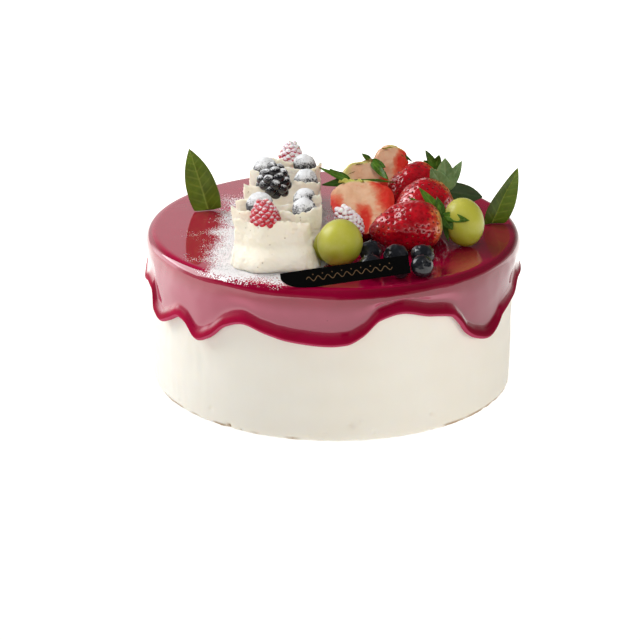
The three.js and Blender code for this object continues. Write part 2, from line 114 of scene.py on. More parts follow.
def ripple(points, wavelength, seed, count=32):
    """A smooth random field of about unit size over points."""
    draw = np.random.default_rng(seed)
    ways = draw.normal(size=(count, 3))
    ways /= np.linalg.norm(ways, axis=1, keepdims=True)
    ways *= 2 * np.pi / (wavelength * draw.uniform(0.6, 1.7, (count, 1)))
    phases = draw.uniform(0, 2 * np.pi, count)
    total = np.zeros(len(points))
    for way, phase in zip(ways, phases):
        total += np.sin(points @ way + phase)
    return total * math.sqrt(2 / count)


def node_box(node):
    low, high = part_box(node)
    return np.array(low) / MM, np.array(high) / MM


def settled(points, node):
    """The points moved so that the middle of their box is the middle of the node's."""
    low, high = node_box(node)
    return points + (low + high) / 2 - (points.min(0) + points.max(0)) / 2


# ---------- meshes ----------


def ring_faces(rows, around, start=0):
    """Quads over rings of points that follow one another from index start."""
    j = np.arange(around)
    near = start + np.arange(rows - 1)[:, None] * around
    a, b = near + j, near + (j + 1) % around
    return np.stack([a, b, b + around, a + around], -1).reshape(-1, 4).tolist()


def revolved(reach, z, angles):
    """Rings of points round +Z, from a radius and a height for each ring."""
    rings = np.empty((len(z), len(angles), 3))
    rings[..., 0] = reach[:, None] * np.cos(angles)
    rings[..., 1] = reach[:, None] * np.sin(angles)
    rings[..., 2] = z[:, None]
    return rings


def round_angles(count):
    return np.linspace(0, 2 * np.pi, count, endpoint=False)


def ringed(rings, first, last):
    """Closed skin over rings of points, drawn together to one point at each end."""
    rows, around = rings.shape[:2]
    verts = np.vstack([[first], rings.reshape(-1, 3), [last]])
    end = len(verts) - 1
    faces = ring_faces(rows, around, 1)
    for j in range(around):
        n = (j + 1) % around
        faces.append([0, 1 + n, 1 + j])
        faces.append([end, end - around + j, end - around + n])
    return verts, faces


def signed_volume(verts, faces):
    total = 0.0
    for size in {len(f) for f in faces}:
        corners = np.array([f for f in faces if len(f) == size])
        for k in range(1, size - 1):
            a, b, c = (verts[corners[:, i]] for i in (0, k, k + 1))
            total += np.einsum("ij,ij->i", a, np.cross(b, c)).sum()
    return total


def make_mesh(name, verts, faces, looks):
    if signed_volume(verts, faces) < 0:
        faces = [f[::-1] for f in faces]
    mesh = bpy.data.meshes.new(name)
    mesh.from_pydata((verts * MM).tolist(), [], faces)
    mesh.shade_smooth()
    for look in looks:
        mesh.materials.append(look)
    piece = bpy.data.objects.new(name, mesh)
    bpy.context.scene.collection.objects.link(piece)
    return piece


def add_piece(name, verts, faces, looks, slot, *nodes):
    piece = make_mesh(name, verts, faces, looks)
    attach(piece, "root")
    if nodes:
        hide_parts(*nodes)
    return piece


def mark(piece, name, values):
    """Keeps one number for each point, for the material to read."""
    attribute = piece.data.attributes.new(name, "FLOAT", "POINT")
    attribute.data.foreach_set("value", np.asarray(values, np.float32))


def template(build, **settings):
    """Points and faces of a shape that one of Blender's own mesh functions builds."""
    shape = bmesh.new()
    build(shape, **settings)
    shape.verts.index_update()
    verts = np.array([v.co for v in shape.verts])
    faces = [[v.index for v in f.verts] for f in shape.faces]
    shape.free()
    return verts, faces


def ball(fineness):
    return template(bmesh.ops.create_icosphere, subdivisions=fineness, radius=1)


def pyramid():
    return template(bmesh.ops.create_cone, cap_ends=True, segments=3, radius1=1, radius2=0, depth=1)


def copies(shape, places, frames, sizes):
    """Many copies of one shape: a place, three axes as rows and three sizes for each."""
    verts, faces = shape[0], np.array(shape[1])
    scaled = verts[None, :, :] * np.asarray(sizes)[:, None, :]
    moved = np.einsum("nij,njk->nik", scaled, np.asarray(frames)) + np.asarray(places)[:, None, :]
    shifts = np.arange(len(places))[:, None, None] * len(verts)
    return moved.reshape(-1, 3), (faces[None] + shifts).reshape(-1, 3).tolist()


def merged(parts):
    """One list of points and faces from several."""
    verts, faces, start = [], [], 0
    for points, sides in parts:
        verts.append(points)
        faces += [[start + i for i in side] for side in sides]
        start += len(points)
    return np.vstack(verts), faces


# ---------- materials ----------


def add(tree, kind, values=None, **settings):
    """A node whose sockets are joined to, or set to, the values."""
    node = tree.nodes.new(kind)
    for key, value in settings.items():
        setattr(node, key, value)
    for key, value in (values or {}).items():
        if isinstance(value, bpy.types.NodeSocket):
            tree.links.new(value, node.inputs[key])
        else:
            node.inputs[key].default_value = value
    return node


def place(tree):
    return add(tree, "ShaderNodeTexCoord").outputs["Object"]


def noise(tree, size, detail=3.0, roughness=0.55, distortion=0.0):
    """Noise with blobs of about the size given in millimetres."""
    values = {
        "Vector": place(tree), "Scale": 1 / (size * MM), "Detail": detail, "Roughness": roughness,
        "Distortion": distortion,
    }
    return add(tree, "ShaderNodeTexNoise", values).outputs[0]


def cells(tree, size):
    """Distance to the nearest of many scattered points, in cells of the size given."""
    values = {"Vector": place(tree), "Scale": 1 / (size * MM)}
    return add(tree, "ShaderNodeTexVoronoi", values).outputs["Distance"]


def stored(tree, name):
    return add(tree, "ShaderNodeAttribute", attribute_name=name).outputs["Fac"]


def calc(tree, operation, a, b):
    return add(tree, "ShaderNodeMath", {0: a, 1: b}, operation=operation).outputs[0]


def times(tree, a, b):
    return calc(tree, "MULTIPLY", a, b)


def plus(tree, a, b):
    return calc(tree, "ADD", a, b)


def uneven(tree, swing, *blobs):
    """Noise that swings about 0 by the amount given; the rest is as for noise."""
    return times(tree, calc(tree, "SUBTRACT", noise(tree, *blobs), 0.5), swing)


def between(tree, value, low, high, start=0.0, end=1.0):
    """The value eased from start to end as it goes from low to high."""
    values = {"Value": value, "From Min": low, "From Max": high, "To Min": start, "To Max": end}
    return add(tree, "ShaderNodeMapRange", values, interpolation_type="SMOOTHSTEP").outputs[0]


def mix(tree, factor, a, b):
    """From colour a to colour b by the factor."""
    a, b = (c if isinstance(c, bpy.types.NodeSocket) else (*c, 1) for c in (a, b))
    values = {0: factor, 6: a, 7: b}
    return add(tree, "ShaderNodeMix", values, data_type="RGBA").outputs[2]


def height_of_normal(tree):
    """How far the surface faces up, from -1 to 1."""
    normal = add(tree, "ShaderNodeNewGeometry").outputs["Normal"]
    return add(tree, "ShaderNodeSeparateXYZ", {0: normal}).outputs["Z"]


def bump(tree, height, depth, strength=1.0, under=None):
    values = {"Height": height, "Distance": depth * MM, "Strength": strength}
    if under:
        values["Normal"] = under
    return add(tree, "ShaderNodeBump", values).outputs[0]


def new_look(name, **values):
    """A material, its nodes, and a function that joins a value to a socket of its shader.

    The values given are set on the shader's own sockets, by name.
    """
    look = bpy.data.materials.new(name)
    look.use_nodes = True
    tree = look.node_tree
    inputs = tree.nodes["Principled BSDF"].inputs
    for key, value in values.items():
        socket = inputs[key.replace("_", " ")]
        socket.default_value = (*value, 1) if socket.type == "RGBA" else value

    def feed(socket, value):
        tree.links.new(value, inputs[socket])

    return look, tree, feed


def cream_look(name, colour, shade, grain, brown, pitted, softness, reach):
    """Whipped cream; its grain is in millimetres and its reach, of light in it, in metres."""
    look, tree, feed = new_look(
        name, Roughness=0.62, Subsurface_Weight=softness, Subsurface_Scale=reach, IOR=1.4,
        Subsurface_Radius=(1.0, 0.8, 0.55),
    )
    tone = mix(tree, between(tree, noise(tree, 30, 2), 0.3, 0.7), colour, shade)
    fine = mix(tree, between(tree, noise(tree, 0.9, 4), 0.35, 0.65, 0, 0.25), tone, shade)
    # Small pits are painted brown, as strongly as brown says: painted shade in the holes. Crumb marks sponge
    # showing through.
    holes = between(tree, cells(tree, 2.6), 0.10, 0.20, 1, 0)
    some = between(tree, noise(tree, 6, 1), 0.52, 0.62, 0, pitted)
    pits = times(tree, holes, some)
    pit_shade_and_crumb = calc(tree, "MAXIMUM", times(tree, pits, brown), stored(tree, "crumb"))
    shaded_and_crumbed = mix(tree, pit_shade_and_crumb, fine, (0.29, 0.165, 0.068))
    feed("Base Color", shaded_and_crumbed)
    fluffy = bump(tree, noise(tree, 0.8, 5, 0.65), grain, 0.6)
    feed("Normal", bump(tree, times(tree, pits, -1.0), 0.35, 1.0, fluffy))
    return look


def sifted(tree):
    """Where sugar lies on the glaze, in grains and clumps."""
    scatter = times(tree, calc(tree, "SUBTRACT", 0.45, cells(tree, 0.88)), 1.5)
    clumps = uneven(tree, 0.8, 4, 2, 0.6)
    laid = times(tree, stored(tree, "dust"), 1.2)
    powder = plus(tree, laid, plus(tree, scatter, clumps))
    white = between(tree, powder, 0.40, 0.60, 0, 0.96)
    return times(tree, white, between(tree, stored(tree, "dust"), 0.0, 0.16))


def glaze_look():
    look, tree, feed = new_look(
        "berry_glaze", Roughness=0.12, IOR=1.45, Specular_IOR_Level=0.12, Coat_Weight=1.0,
        Coat_IOR=1.78, Coat_Roughness=0.03,
    )
    deep = mix(tree, between(tree, noise(tree, 22, 2), 0.35, 0.65), (0.27, 0.0, 0.028), (0.235, 0.0, 0.021))
    # Faces that look straight up are painted a brighter red: painted light on the flat top.
    level = between(tree, height_of_normal(tree), 0.85, 0.99)
    body = mix(tree, stored(tree, "thick"), (0.305, 0.035, 0.075), mix(tree, level, deep, (0.42, 0.0, 0.045)))
    # Faces turned down, under the lip, are painted pinker: a painted reflection of the pale floor below.
    floor_reflection_paint = between(tree, height_of_normal(tree), -0.05, -0.38)
    body = mix(tree, floor_reflection_paint, body, (0.42, 0.05, 0.11))
    seeds = between(tree, cells(tree, 5.5), 0.035, 0.055, 1, 0)
    some = between(tree, noise(tree, 9, 1), 0.54, 0.58)
    specks = times(tree, seeds, some)
    specked = mix(tree, specks, body, (0.05, 0.0, 0.005))
    white = sifted(tree)
    feed("Base Color", mix(tree, white, specked, (0.86, 0.85, 0.86)))
    dull = calc(tree, "MAXIMUM", white, times(tree, stored(tree, "under"), 0.9))
    feed("Coat Weight", between(tree, dull, 0, 1, 1, 0))
    feed("Roughness", between(tree, dull, 0, 1, 0.12, 0.9))
    flow = bump(tree, noise(tree, 14, 1), 0.25, 0.35)
    feed("Coat Normal", bump(tree, specks, 0.15, 1.0, flow))
    return look


def dusted_look(name, skin, deep, powder, low, high, **values):
    """A fruit skin under sugar that lies where the surface faces up."""
    look, tree, feed = new_look(name, **values)
    tone = mix(tree, between(tree, noise(tree, 3, 3), 0.35, 0.65), skin, deep)
    broad = uneven(tree, 1.5, 2.6, 3, 0.6)
    speckle = uneven(tree, 2.2, 0.6, 3, 0.8)
    lying = plus(tree, height_of_normal(tree), plus(tree, broad, speckle))
    white = between(tree, lying, low, high)
    feed("Base Color", mix(tree, white, tone, powder))
    feed("Roughness", between(tree, white, 0, 1, values["Roughness"], 0.95))
    feed("Coat Weight", between(tree, white, 0, 1, values.get("Coat_Weight", 0.0), 0))
    grains = times(tree, white, noise(tree, 0.5, 4, 0.8))
    feed("Normal", bump(tree, grains, 0.5, 0.8))
    return look


def blueberry_look():
    look, tree, feed = new_look(
        "fresh_blueberry", Roughness=0.34, IOR=1.5, Coat_Weight=0.5, Coat_Roughness=0.07,
    )
    bloom = between(tree, noise(tree, 4, 3, 0.6), 0.48, 0.85)
    tone = mix(tree, bloom, (0.008, 0.009, 0.012), (0.045, 0.048, 0.058))
    feed("Base Color", tone)
    feed("Roughness", between(tree, bloom, 0, 1, 0.28, 0.5))
    feed("Normal", bump(tree, noise(tree, 1.4, 3), 0.12, 0.5))
    return look


def grape_look():
    look, tree, feed = new_look(
        "grape_skin", Roughness=0.45, IOR=1.4, Subsurface_Weight=0.6, Subsurface_Scale=0.006,
        Subsurface_Radius=(1.0, 0.9, 0.25), Specular_IOR_Level=0.35, Coat_Weight=0.6,
        Coat_Roughness=0.32,
    )
    # The top is painted paler and the underside greener: painted light from above, and a tint that offsets
    # the red light the glaze throws up.
    up = between(tree, height_of_normal(tree), -0.9, 0.7)
    tone = mix(tree, up, (0.37, 0.41, 0.022), (0.43, 0.42, 0.055))
    patchy = mix(tree, between(tree, noise(tree, 7, 3), 0.4, 0.7, 0, 0.3), tone, (0.52, 0.49, 0.14))
    dots = between(tree, cells(tree, 1.3), 0.08, 0.16, 0.5, 0)
    feed("Base Color", mix(tree, dots, patchy, (0.56, 0.53, 0.20)))
    feed("Normal", bump(tree, noise(tree, 1.2, 3), 0.03, 0.4))
    return look


def berry_skin(tree):
    """Strawberry red, paler and yellower towards the stem shoulder."""
    red = mix(tree, between(tree, noise(tree, 7, 3), 0.35, 0.65), (0.30, 0.0015, 0.008), (0.46, 0.004, 0.012))
    ragged = plus(tree, stored(tree, "shoulder"), times(tree, noise(tree, 3, 4), 0.35))
    orange = mix(tree, between(tree, ragged, 0.98, 1.15), red, (0.66, 0.13, 0.04))
    return mix(tree, between(tree, ragged, 1.08, 1.22), orange, (0.60, 0.50, 0.17))


def strawberry_look():
    look, tree, feed = new_look(
        "strawberry_skin", Roughness=0.35, IOR=1.45, Coat_Weight=1.0, Coat_Roughness=0.03,
        Coat_IOR=1.9, Specular_IOR_Level=0.1,
    )
    skin = berry_skin(tree)
    # The dimples round the achenes are painted darker: painted shade in the hollows.
    feed("Base Color", mix(tree, stored(tree, "dimple"), skin, (0.20, 0.0, 0.003)))
    wet = between(tree, noise(tree, 3.2, 3, 0.6, 0.8), 0.32, 0.52, 0.2, 1.0)
    feed("Coat Weight", wet)
    swells = bump(tree, noise(tree, 6, 2, 0.5, 0.6), 1.3, 0.6)
    feed("Coat Normal", bump(tree, noise(tree, 2.2, 2, 0.5), 0.28, 0.5, swells))
    return look


def cut_look():
    look, tree, feed = new_look(
        "strawberry_flesh", Roughness=0.4, IOR=1.4, Subsurface_Weight=0.3, Subsurface_Scale=0.002,
        Subsurface_Radius=(1, 0.5, 0.35), Coat_Weight=0.6, Coat_Roughness=0.15,
    )
    broad = uneven(tree, 0.8, 6, 2, 0.5)
    rays = uneven(tree, 0.7, 2.2, 3, 0.6)
    redness = plus(tree, plus(tree, stored(tree, "redness"), broad), rays)
    core = mix(tree, between(tree, noise(tree, 8, 2), 0.3, 0.7), (0.68, 0.40, 0.245), (0.74, 0.48, 0.32))
    pink = mix(tree, between(tree, redness, 0.05, 0.6), core, (0.66, 0.165, 0.085))
    red = mix(tree, between(tree, redness, 0.45, 1.1), pink, (0.58, 0.026, 0.015))
    green = mix(tree, noise(tree, 3, 3), (0.50, 0.48, 0.10), (0.66, 0.58, 0.26))
    flesh = mix(tree, stored(tree, "unripe"), red, green)
    feed("Base Color", flesh)
    moist = bump(tree, noise(tree, 1.2, 4, 0.7), 0.16, 0.7)
    feed("Normal", moist)
    feed("Coat Normal", moist)
    return look


def seed_look():
    look, tree, feed = new_look("achene", Roughness=0.4, Coat_Weight=0.6, Coat_Roughness=0.1)
    tone = mix(tree, between(tree, noise(tree, 5, 1), 0.55, 0.75), (0.17, 0.008, 0.005), (0.38, 0.14, 0.03))
    feed("Base Color", tone)
    return look


def leaf_look(name, blade, dark, vein, gloss):
    look, tree, feed = new_look(
        name, Roughness=gloss, Specular_IOR_Level=0.3, Subsurface_Weight=0.08,
        Subsurface_Scale=0.002,
    )
    tone = mix(tree, between(tree, noise(tree, 6, 4), 0.3, 0.7), blade, dark)
    veined = mix(tree, stored(tree, "vein"), tone, vein)
    tint = stored(tree, "tint")
    yellow = mix(tree, noise(tree, 2.5, 3), (0.42, 0.44, 0.05), (0.62, 0.60, 0.18))
    # A tint below 0 darkens the green; on the leaves this is the painted shade of one half.
    dark = mix(tree, between(tree, tint, 0, -1), veined, (0.012, 0.028, 0.006))
    pale = mix(tree, between(tree, tint, 0.3, 1), dark, yellow)
    brown = mix(tree, between(tree, tint, 1, 2), pale, (0.20, 0.10, 0.03))
    feed("Base Color", brown)
    net = between(tree, cells(tree, 1.1), 0.0, 0.5)
    feed("Normal", bump(tree, net, 0.06, 0.5))
    return look


def plain_look(name, colour, roughness, size, depth, **values):
    """One colour with a slight uneven tone and relief, whose size and depth are in millimetres."""
    look, tree, feed = new_look(name, Roughness=roughness, **values)
    darker = tuple(0.75 * c for c in colour)
    feed("Base Color", mix(tree, noise(tree, size * 4, 3), colour, darker))
    feed("Normal", bump(tree, noise(tree, size, 4), depth, 0.5))
    return look


# ---------- cake and glaze ----------

SEAT = 87.0                            # level on which the toppings rest
DUSTED_DROP = 1.6                      # sugar lies on the glaze down to this far below its top
CREAM_BED = {"front": -66, "back": 46, "left": -49, "right": -10, "height": 13}
FOLD_FOOT = 9.5                        # half thickness at the foot
FOLD_WAVE = 0.9
FOLD_CREST = 0.75                      # half thickness just under the torn crest
# Section of a fold: offset as a share of the foot, height
FOLD_FRONT = [
    (-1, 0), (-1.14, 1.2), (-1.2, 3), (-1.16, 5.4), (-1.0, 7.8), (-0.72, 9.6), (-0.40, 10.4),
    (-0.26, 11.4), (-0.28, 14),
]
FOLD_BACK = [(0.45, 13), (0.8, 7), (1, 0)]
# middle x and y of the crest, half width, crest height above the seat, bow to the front,
# turn in degrees, how much wider the foot is than the crest on the left and on the right.
# A foot that spreads does so low down; one that draws in does so all the way.
FOLDS = [
    (-32.0, -68.5, 19.6, 24.0, 5, 1, 2.6, 6.0),
    (-30.0, -55.2, 24.5, 26.4, 8, 1, -5.5, -2.5),
    (-29.0, -38.5, 23.5, 26.2, 8, 4, -2, -2),
    (-27.5, -7.5, 21.5, 25.4, 3, 16, -2, -2),
    (-26.5, 21.5, 20.5, 26.0, 3, 10, -1, -1),
    (-27.5, 36.5, 14.5, 26.2, 4, 3, 1, 1),
    (-25.5, 49.0, 10.0, 19.0, 2, 0, 2, 2),
]

# Lower edge of the glaze: azimuth in degrees from +X, height
DRIPS = [
    (5, 62), (18, 50), (32, 66), (48, 54), (62, 68), (80, 47), (95, 63), (112, 56), (128, 68),
    (142, 49), (155, 60), (168, 66), (184, 57), (194, 61), (199, 60), (202, 49.5), (206, 47),
    (212, 51), (217.5, 55.6), (220.5, 54.5), (226.3, 47.6), (231, 51), (237, 59.8), (243, 63.2),
    (249.5, 60), (258, 56.8), (269, 55.3), (274, 56), (279, 60.5), (284, 68.7), (290.5, 71.4),
    (299, 67.8), (307.5, 64.6), (311, 59), (314, 52), (318, 47.7), (323.5, 45.2), (328, 48.5),
    (331, 53.3), (335, 55.4), (341, 58), (347, 65),
]


def distance_to_cream(x, y):
    """How far a place on the top lies outside the feet of the whole row of folds."""
    middle_x, middle_y, half_width, _, bow, _, flare_left, flare_right = np.array(FOLDS).T
    left = np.interp(y, middle_y, middle_x - half_width - np.maximum(flare_left, 0))
    right = np.interp(y, middle_y, middle_x + half_width + np.maximum(flare_right, 0))
    along = np.clip((x - middle_x[0]) / half_width[0], -1, 1)
    front = middle_y[0] - FOLD_FOOT + bow[0] * along ** 2
    back = middle_y[-1] + FOLD_FOOT
    beside = np.maximum(np.maximum(left - x, x - right), 0)
    beyond = np.maximum(np.maximum(front - y, y - back), 0)
    return np.hypot(beside, beyond)


def dust_at(x, y):
    """How thickly the sugar lies on the glaze, from 0 to 1: widest to the left of the cream."""
    left = smooth(-x, 30, 52)
    spread = 9.0 + 3.0 * left * smooth(-y, 35, 60) + 1.5 * left - 6.0 * smooth(x, -30, -10)
    spread += 2.0 * smooth(-y, 78, 84) + 2.5 * left * smooth(y, -45, -25)
    patchy = 1 + 0.25 * ripple(np.stack([x, y, 0 * x], -1).reshape(-1, 3), 16, 9).reshape(np.shape(x))
    return np.exp(-(distance_to_cream(x, y) / (spread * patchy)) ** 2.2)


# Small dents and smears low on the side: azimuth, height, size, depth
BODY_MARKS = [
    (236.5, 1.5, 1.7, 1.7), (241, 1.0, 1.0, 0.9), (258, 0.8, 1.2, 1.1), (229.5, 8.5, 1.4, 0.4),
    (276, 9.5, 2.2, 0.5), (279, 11, 1.2, -0.4), (263, 4.0, 1.0, 0.4), (268, 5.5, 0.9, 0.3),
    (302, 10.5, 1.3, 0.5), (304, 8.6, 1.0, -0.4), (296, 13, 0.8, 0.3), (283, 5.0, 1.3, 0.4),
    (214, 4.0, 1.0, 0.3), (310, 12.0, 0.8, 0.2),
]
BODY_ROUND = 5                         # rounding at the top, under the glaze
BODY_FOOT = (1.4, 0.5)                 # how far the two lowest rings are drawn in


def near_marks(points, radius, spread=1.0):
    """For each mark, how near the points are to it, from 0 to 1, and how deep it is."""
    for azimuth, level, size, depth in BODY_MARKS:
        angle = math.radians(azimuth)
        spot = np.array([radius * math.cos(angle), radius * math.sin(angle), level])
        yield np.exp(-(np.linalg.norm(points - spot, axis=1) / (spread * size)) ** 2), depth


def cake_body():
    high = node_box("cake_body")[1]
    radius, height = high[0], high[2]
    shoulder = height - BODY_ROUND
    z = np.concatenate([np.linspace(0, 12, 25), np.linspace(13, shoulder, 45)])
    reach = np.full(len(z), radius)
    reach[:2] -= BODY_FOOT
    bend = np.linspace(0.3, np.pi / 2, 5)
    z = np.concatenate([z, shoulder + BODY_ROUND * np.sin(bend)])
    reach = np.concatenate([reach, radius - BODY_ROUND + BODY_ROUND * np.cos(bend)])
    rings = revolved(reach, z, round_angles(720))
    points = rings.reshape(-1, 3)
    outward = points * (1, 1, 0) / radius
    wall = smooth(points[:, 2], 0.2, 3) * smooth(-points[:, 2], -height + 1, -height + 6)
    drag = ripple(points * (1, 1, 3.0), 40, 3) * 0.12 + ripple(points * (1, 1, 0.4), 7, 4) * 0.035
    foot = 0.35 * smooth(-points[:, 2], -2.0, 0) * ripple(points * (1, 1, 0), 9, 5)
    points += outward * (wall * drag - np.abs(foot))[:, None]
    for near, depth in near_marks(points, radius):
        points -= outward * (depth * near)[:, None]
    return ringed(rings, (0, 0, 0), (0, 0, height))


def crumb_at(verts):
    """Where brown sponge shows: along the very foot in patches, and in the deepest dents."""
    patches = smooth(ripple(verts * (1, 1, 0), 22, 6), -0.5, 0.5)
    crumb = 0.85 * patches * smooth(-verts[:, 2], -2.6, -1.4)
    reach = np.maximum(np.hypot(verts[:, 0], verts[:, 1]), 1)
    radius = reach.max()
    wall = verts * np.stack([radius / reach, radius / reach, np.ones_like(reach)], -1)
    for near, depth in near_marks(wall, radius, 0.8):
        crumb = np.maximum(crumb, near * np.clip(1.1 * depth - 0.45, 0, 1))
    return crumb


def drip_edge(azimuth):
    """Height of the glaze's lower edge: an eased line through the turning points, with no overshoot."""
    turns = np.array(DRIPS, float)
    angle = np.concatenate([turns[-2:, 0] - 360, turns[:, 0], turns[:3, 0] + 360])
    height = np.concatenate([turns[-2:, 1], turns[:, 1], turns[:3, 1]])
    span, rise = np.diff(angle), np.diff(height)
    slope = rise / span
    same = slope[:-1] * slope[1:] > 0
    weight_a, weight_b = 2 * span[1:] + span[:-1], span[1:] + 2 * span[:-1]
    safe = np.where(same, slope[:-1], 1), np.where(same, slope[1:], 1)
    tangent = np.where(same, (weight_a + weight_b) / (weight_a / safe[0] + weight_b / safe[1]), 0)
    tangent = np.concatenate([[0], tangent, [0]])
    where = np.degrees(azimuth) % 360
    k = np.searchsorted(angle, where, side="right") - 1
    t = (where - angle[k]) / span[k]
    start, end = height[k], height[k + 1]
    leave, arrive = tangent[k] * span[k], tangent[k + 1] * span[k]
    cubic = 2 * start - 2 * end + leave + arrive
    square = 3 * end - 3 * start - 2 * leave - arrive
    return start + t * (leave + t * (square + t * cubic))


def shoulder_curve(steps):
    """Offsets inwards and downwards along a shoulder whose bend eases in and out."""
    t = (np.arange(steps) + 0.5) / steps
    turn = np.pi / 2 * smooth(t, 0, 1)
    inward = np.concatenate([[0], np.cumsum(np.cos(turn))])
    share = 1 - inward / inward[-1]
    return GLAZE_SHOULDER * share, GLAZE_SHOULDER * np.flip(share)


def glaze_rows(edge, top):
    """Radius and height of each ring of the glaze, from the middle of its top to its underside."""
    even = np.ones_like(edge)
    bulge = GLAZE_BEAD + GLAZE_DROP * smooth(-edge, -58, -45)
    widest = GLAZE_SKIRT + GLAZE_BELLY
    rows = [(r * even, top * even) for r in np.linspace(2, widest - GLAZE_SHOULDER - 1, 40)]
    inward, down = shoulder_curve(16)
    rows += [((widest - i) * even, (top - d) * even) for i, d in zip(inward, down)]
    waist = top - GLAZE_SHOULDER
    swell = edge + GLAZE_BEAD_HEIGHT
    drop = GLAZE_BEAD_HEIGHT - GLAZE_LIP
    steps = np.linspace(0, 1, 14)[1:]
    for share in steps:
        flat = GLAZE_SKIRT + GLAZE_BELLY * (1 - smooth(share, 0, 1))
        rows.append((flat * even, waist + (swell - waist) * share))
    for share in steps:
        proud = bulge * smooth(share, 0, 1.1) / smooth(1.0, 0, 1.1)
        rows.append((GLAZE_SKIRT + proud, swell - share * drop))
    centre = GLAZE_SKIRT + bulge - GLAZE_LIP
    for angle in np.radians([15, 30, 45, 60, 75, 90, 110, 135, 160]):
        rows.append((centre + GLAZE_LIP * math.cos(angle), edge + GLAZE_LIP * (1 - math.sin(angle))))
    rows.append((GLAZE_INNER * even, edge + GLAZE_LIP))
    rows.append((GLAZE_INNER * even, (top - 7) * even))
    rows.append(((GLAZE_INNER - 5) * even, (top - GLAZE_BED) * even))
    return rows


def glaze_shell():
    """The glaze's skin; also where it lies thick, and what is on its underside."""
    top = node_box("glaze")[1][2]
    azimuth = round_angles(900)
    edge = drip_edge(azimuth)
    rows = glaze_rows(edge, top)
    rings = np.array([np.stack([r * np.cos(azimuth), r * np.sin(azimuth), z], -1) for r, z in rows])
    points = rings.reshape(-1, 3)
    outside = np.hypot(points[:, 0], points[:, 1]) > GLAZE_INNER + 1
    skirt = smooth(-points[:, 2], -top + 1, -top + 8) * outside
    wander = 0.16 * ripple(points, 34, 11) + 0.05 * ripple(points, 12, 12)
    points += points * (1, 1, 0) / GLAZE_SKIRT * (skirt * wander)[:, None]
    depth = np.tile(edge, len(rows))
    thick = glaze_thickness(points[:, 2], depth, top)
    under = smooth(depth - points[:, 2], -7.5, -3.5)
    verts, faces = ringed(rings, (0, 0, top), (0, 0, top - GLAZE_BED))
    return verts, faces, np.concatenate([[1], thick, [1]]), np.concatenate([[0], under, [0]])


def glaze_thickness(z, edge, top):
    """1 where the glaze lies thick, on the top and in the lip, and 0 on the thin skirt."""
    upper = smooth(z, top - 14, top - 6)
    lower = smooth(edge - z, -9.5, -6.5)
    return np.maximum(upper, lower)


def build_cake():
    cream = cream_look(
        "side_cream", (0.81, 0.784, 0.72), (0.796, 0.764, 0.688), grain=0.03, brown=0.0,
        pitted=0.0, softness=0.3, reach=0.006,
    )
    verts, faces = cake_body()
    side = add_piece("cake_side", verts, faces, [cream], "sponge_cream", "cake_body")
    mark(side, "crumb", crumb_at(verts))
    verts, faces, thick, under = glaze_shell()
    shell = add_piece("glaze_shell", verts, faces, [glaze_look()], "glaze", "glaze")
    flat = verts[:, 2] > verts[:, 2].max() - DUSTED_DROP
    mark(shell, "dust", dust_at(verts[:, 0], verts[:, 1]) * flat)
    mark(shell, "thick", thick)
    mark(shell, "under", under)


# ---------- piped cream ----------

CREAM_VOXEL = 0.6


def eased_section(points, steps):
    """Offsets and heights along a smooth line through the points."""
    points = np.array(points, float)
    length = np.concatenate([[0], np.cumsum(np.hypot(*np.diff(points, axis=0).T))])
    where = np.linspace(0, length[-1], steps)
    line = np.stack([np.interp(where, length, points[:, k]) for k in (0, 1)], -1)
    for _ in range(steps // 6):
        line[1:-1] = (line[:-2] + 2 * line[1:-1] + line[2:]) / 4
    return line


def fold_section(foot, crest):
    """Offset and height of each point round a fold's section, at each place along the fold."""
    front = eased_section(FOLD_FRONT, 30)
    rear = eased_section(FOLD_BACK, 16)
    rows = [(share * foot, np.full_like(foot, z)) for share, z in front]
    last = front[-1]
    for t in np.linspace(0, 1, 12)[1:]:
        offset = (1 - t) * last[0] * foot - t * FOLD_CREST
        rows.append((offset, last[1] + t * (crest - 0.5 - last[1])))
    rows.append((np.full_like(foot, -FOLD_CREST * 0.5), crest - 0.1))
    rows.append((np.full_like(foot, FOLD_CREST * 0.5), crest))
    for t in np.linspace(0, 1, 10):
        offset = (1 - t) * FOLD_CREST + t * rear[0][0] * foot
        rows.append((offset, crest - 0.5 + t * (rear[0][1] - crest + 0.5)))
    rows += [(share * foot, np.full_like(foot, z)) for share, z in rear]
    return np.array(rows).transpose(1, 2, 0)


def cream_fold(fold, order):
    """Skin of one fold: a torn crest over a rolled foot that may spread or draw in."""
    x, y, half_width, height, bow, turn, flare_left, flare_right = fold
    side = np.linspace(-1, 1, 160)
    wave = FOLD_WAVE * np.sin(side * 5.2 + order * 2.1)
    along = np.stack([side * half_width, np.full_like(side, order * 40.0), 0 * side], -1)
    torn = 0.28 * ripple(along, 6, 20 + order) + 0.22 * ripple(along, 1.8, 30 + order)
    torn -= 0.5 * np.clip(ripple(along, 3.5, 40 + order) - 1.0, 0, 1)
    sway = 0.45 * ripple(along, 9, 50 + order)
    crest = height + wave + torn
    foot = FOLD_FOOT * np.maximum(0.45, np.sqrt(1 - np.abs(side) ** 5))
    back = bow * side ** 2 + wave
    offset, z = fold_section(foot, crest)
    flare = np.where(side < 0, flare_left, flare_right)[:, None]
    reach = half_width + flare * np.clip(1 - z / height, 0, 1) ** np.where(flare > 0, 4, 1.5)
    lean = smooth(z, 12, 24) * sway[:, None]
    rings = np.stack([side[:, None] * reach, back[:, None] + offset + lean, z], -1)
    verts, faces = ringed(rings, rings[0].mean(0), rings[-1].mean(0))
    cos, sin = math.cos(math.radians(turn)), math.sin(math.radians(turn))
    turned = verts @ np.array([[cos, sin, 0], [-sin, cos, 0], [0, 0, 1]])
    return turned + (x, y, SEAT), faces


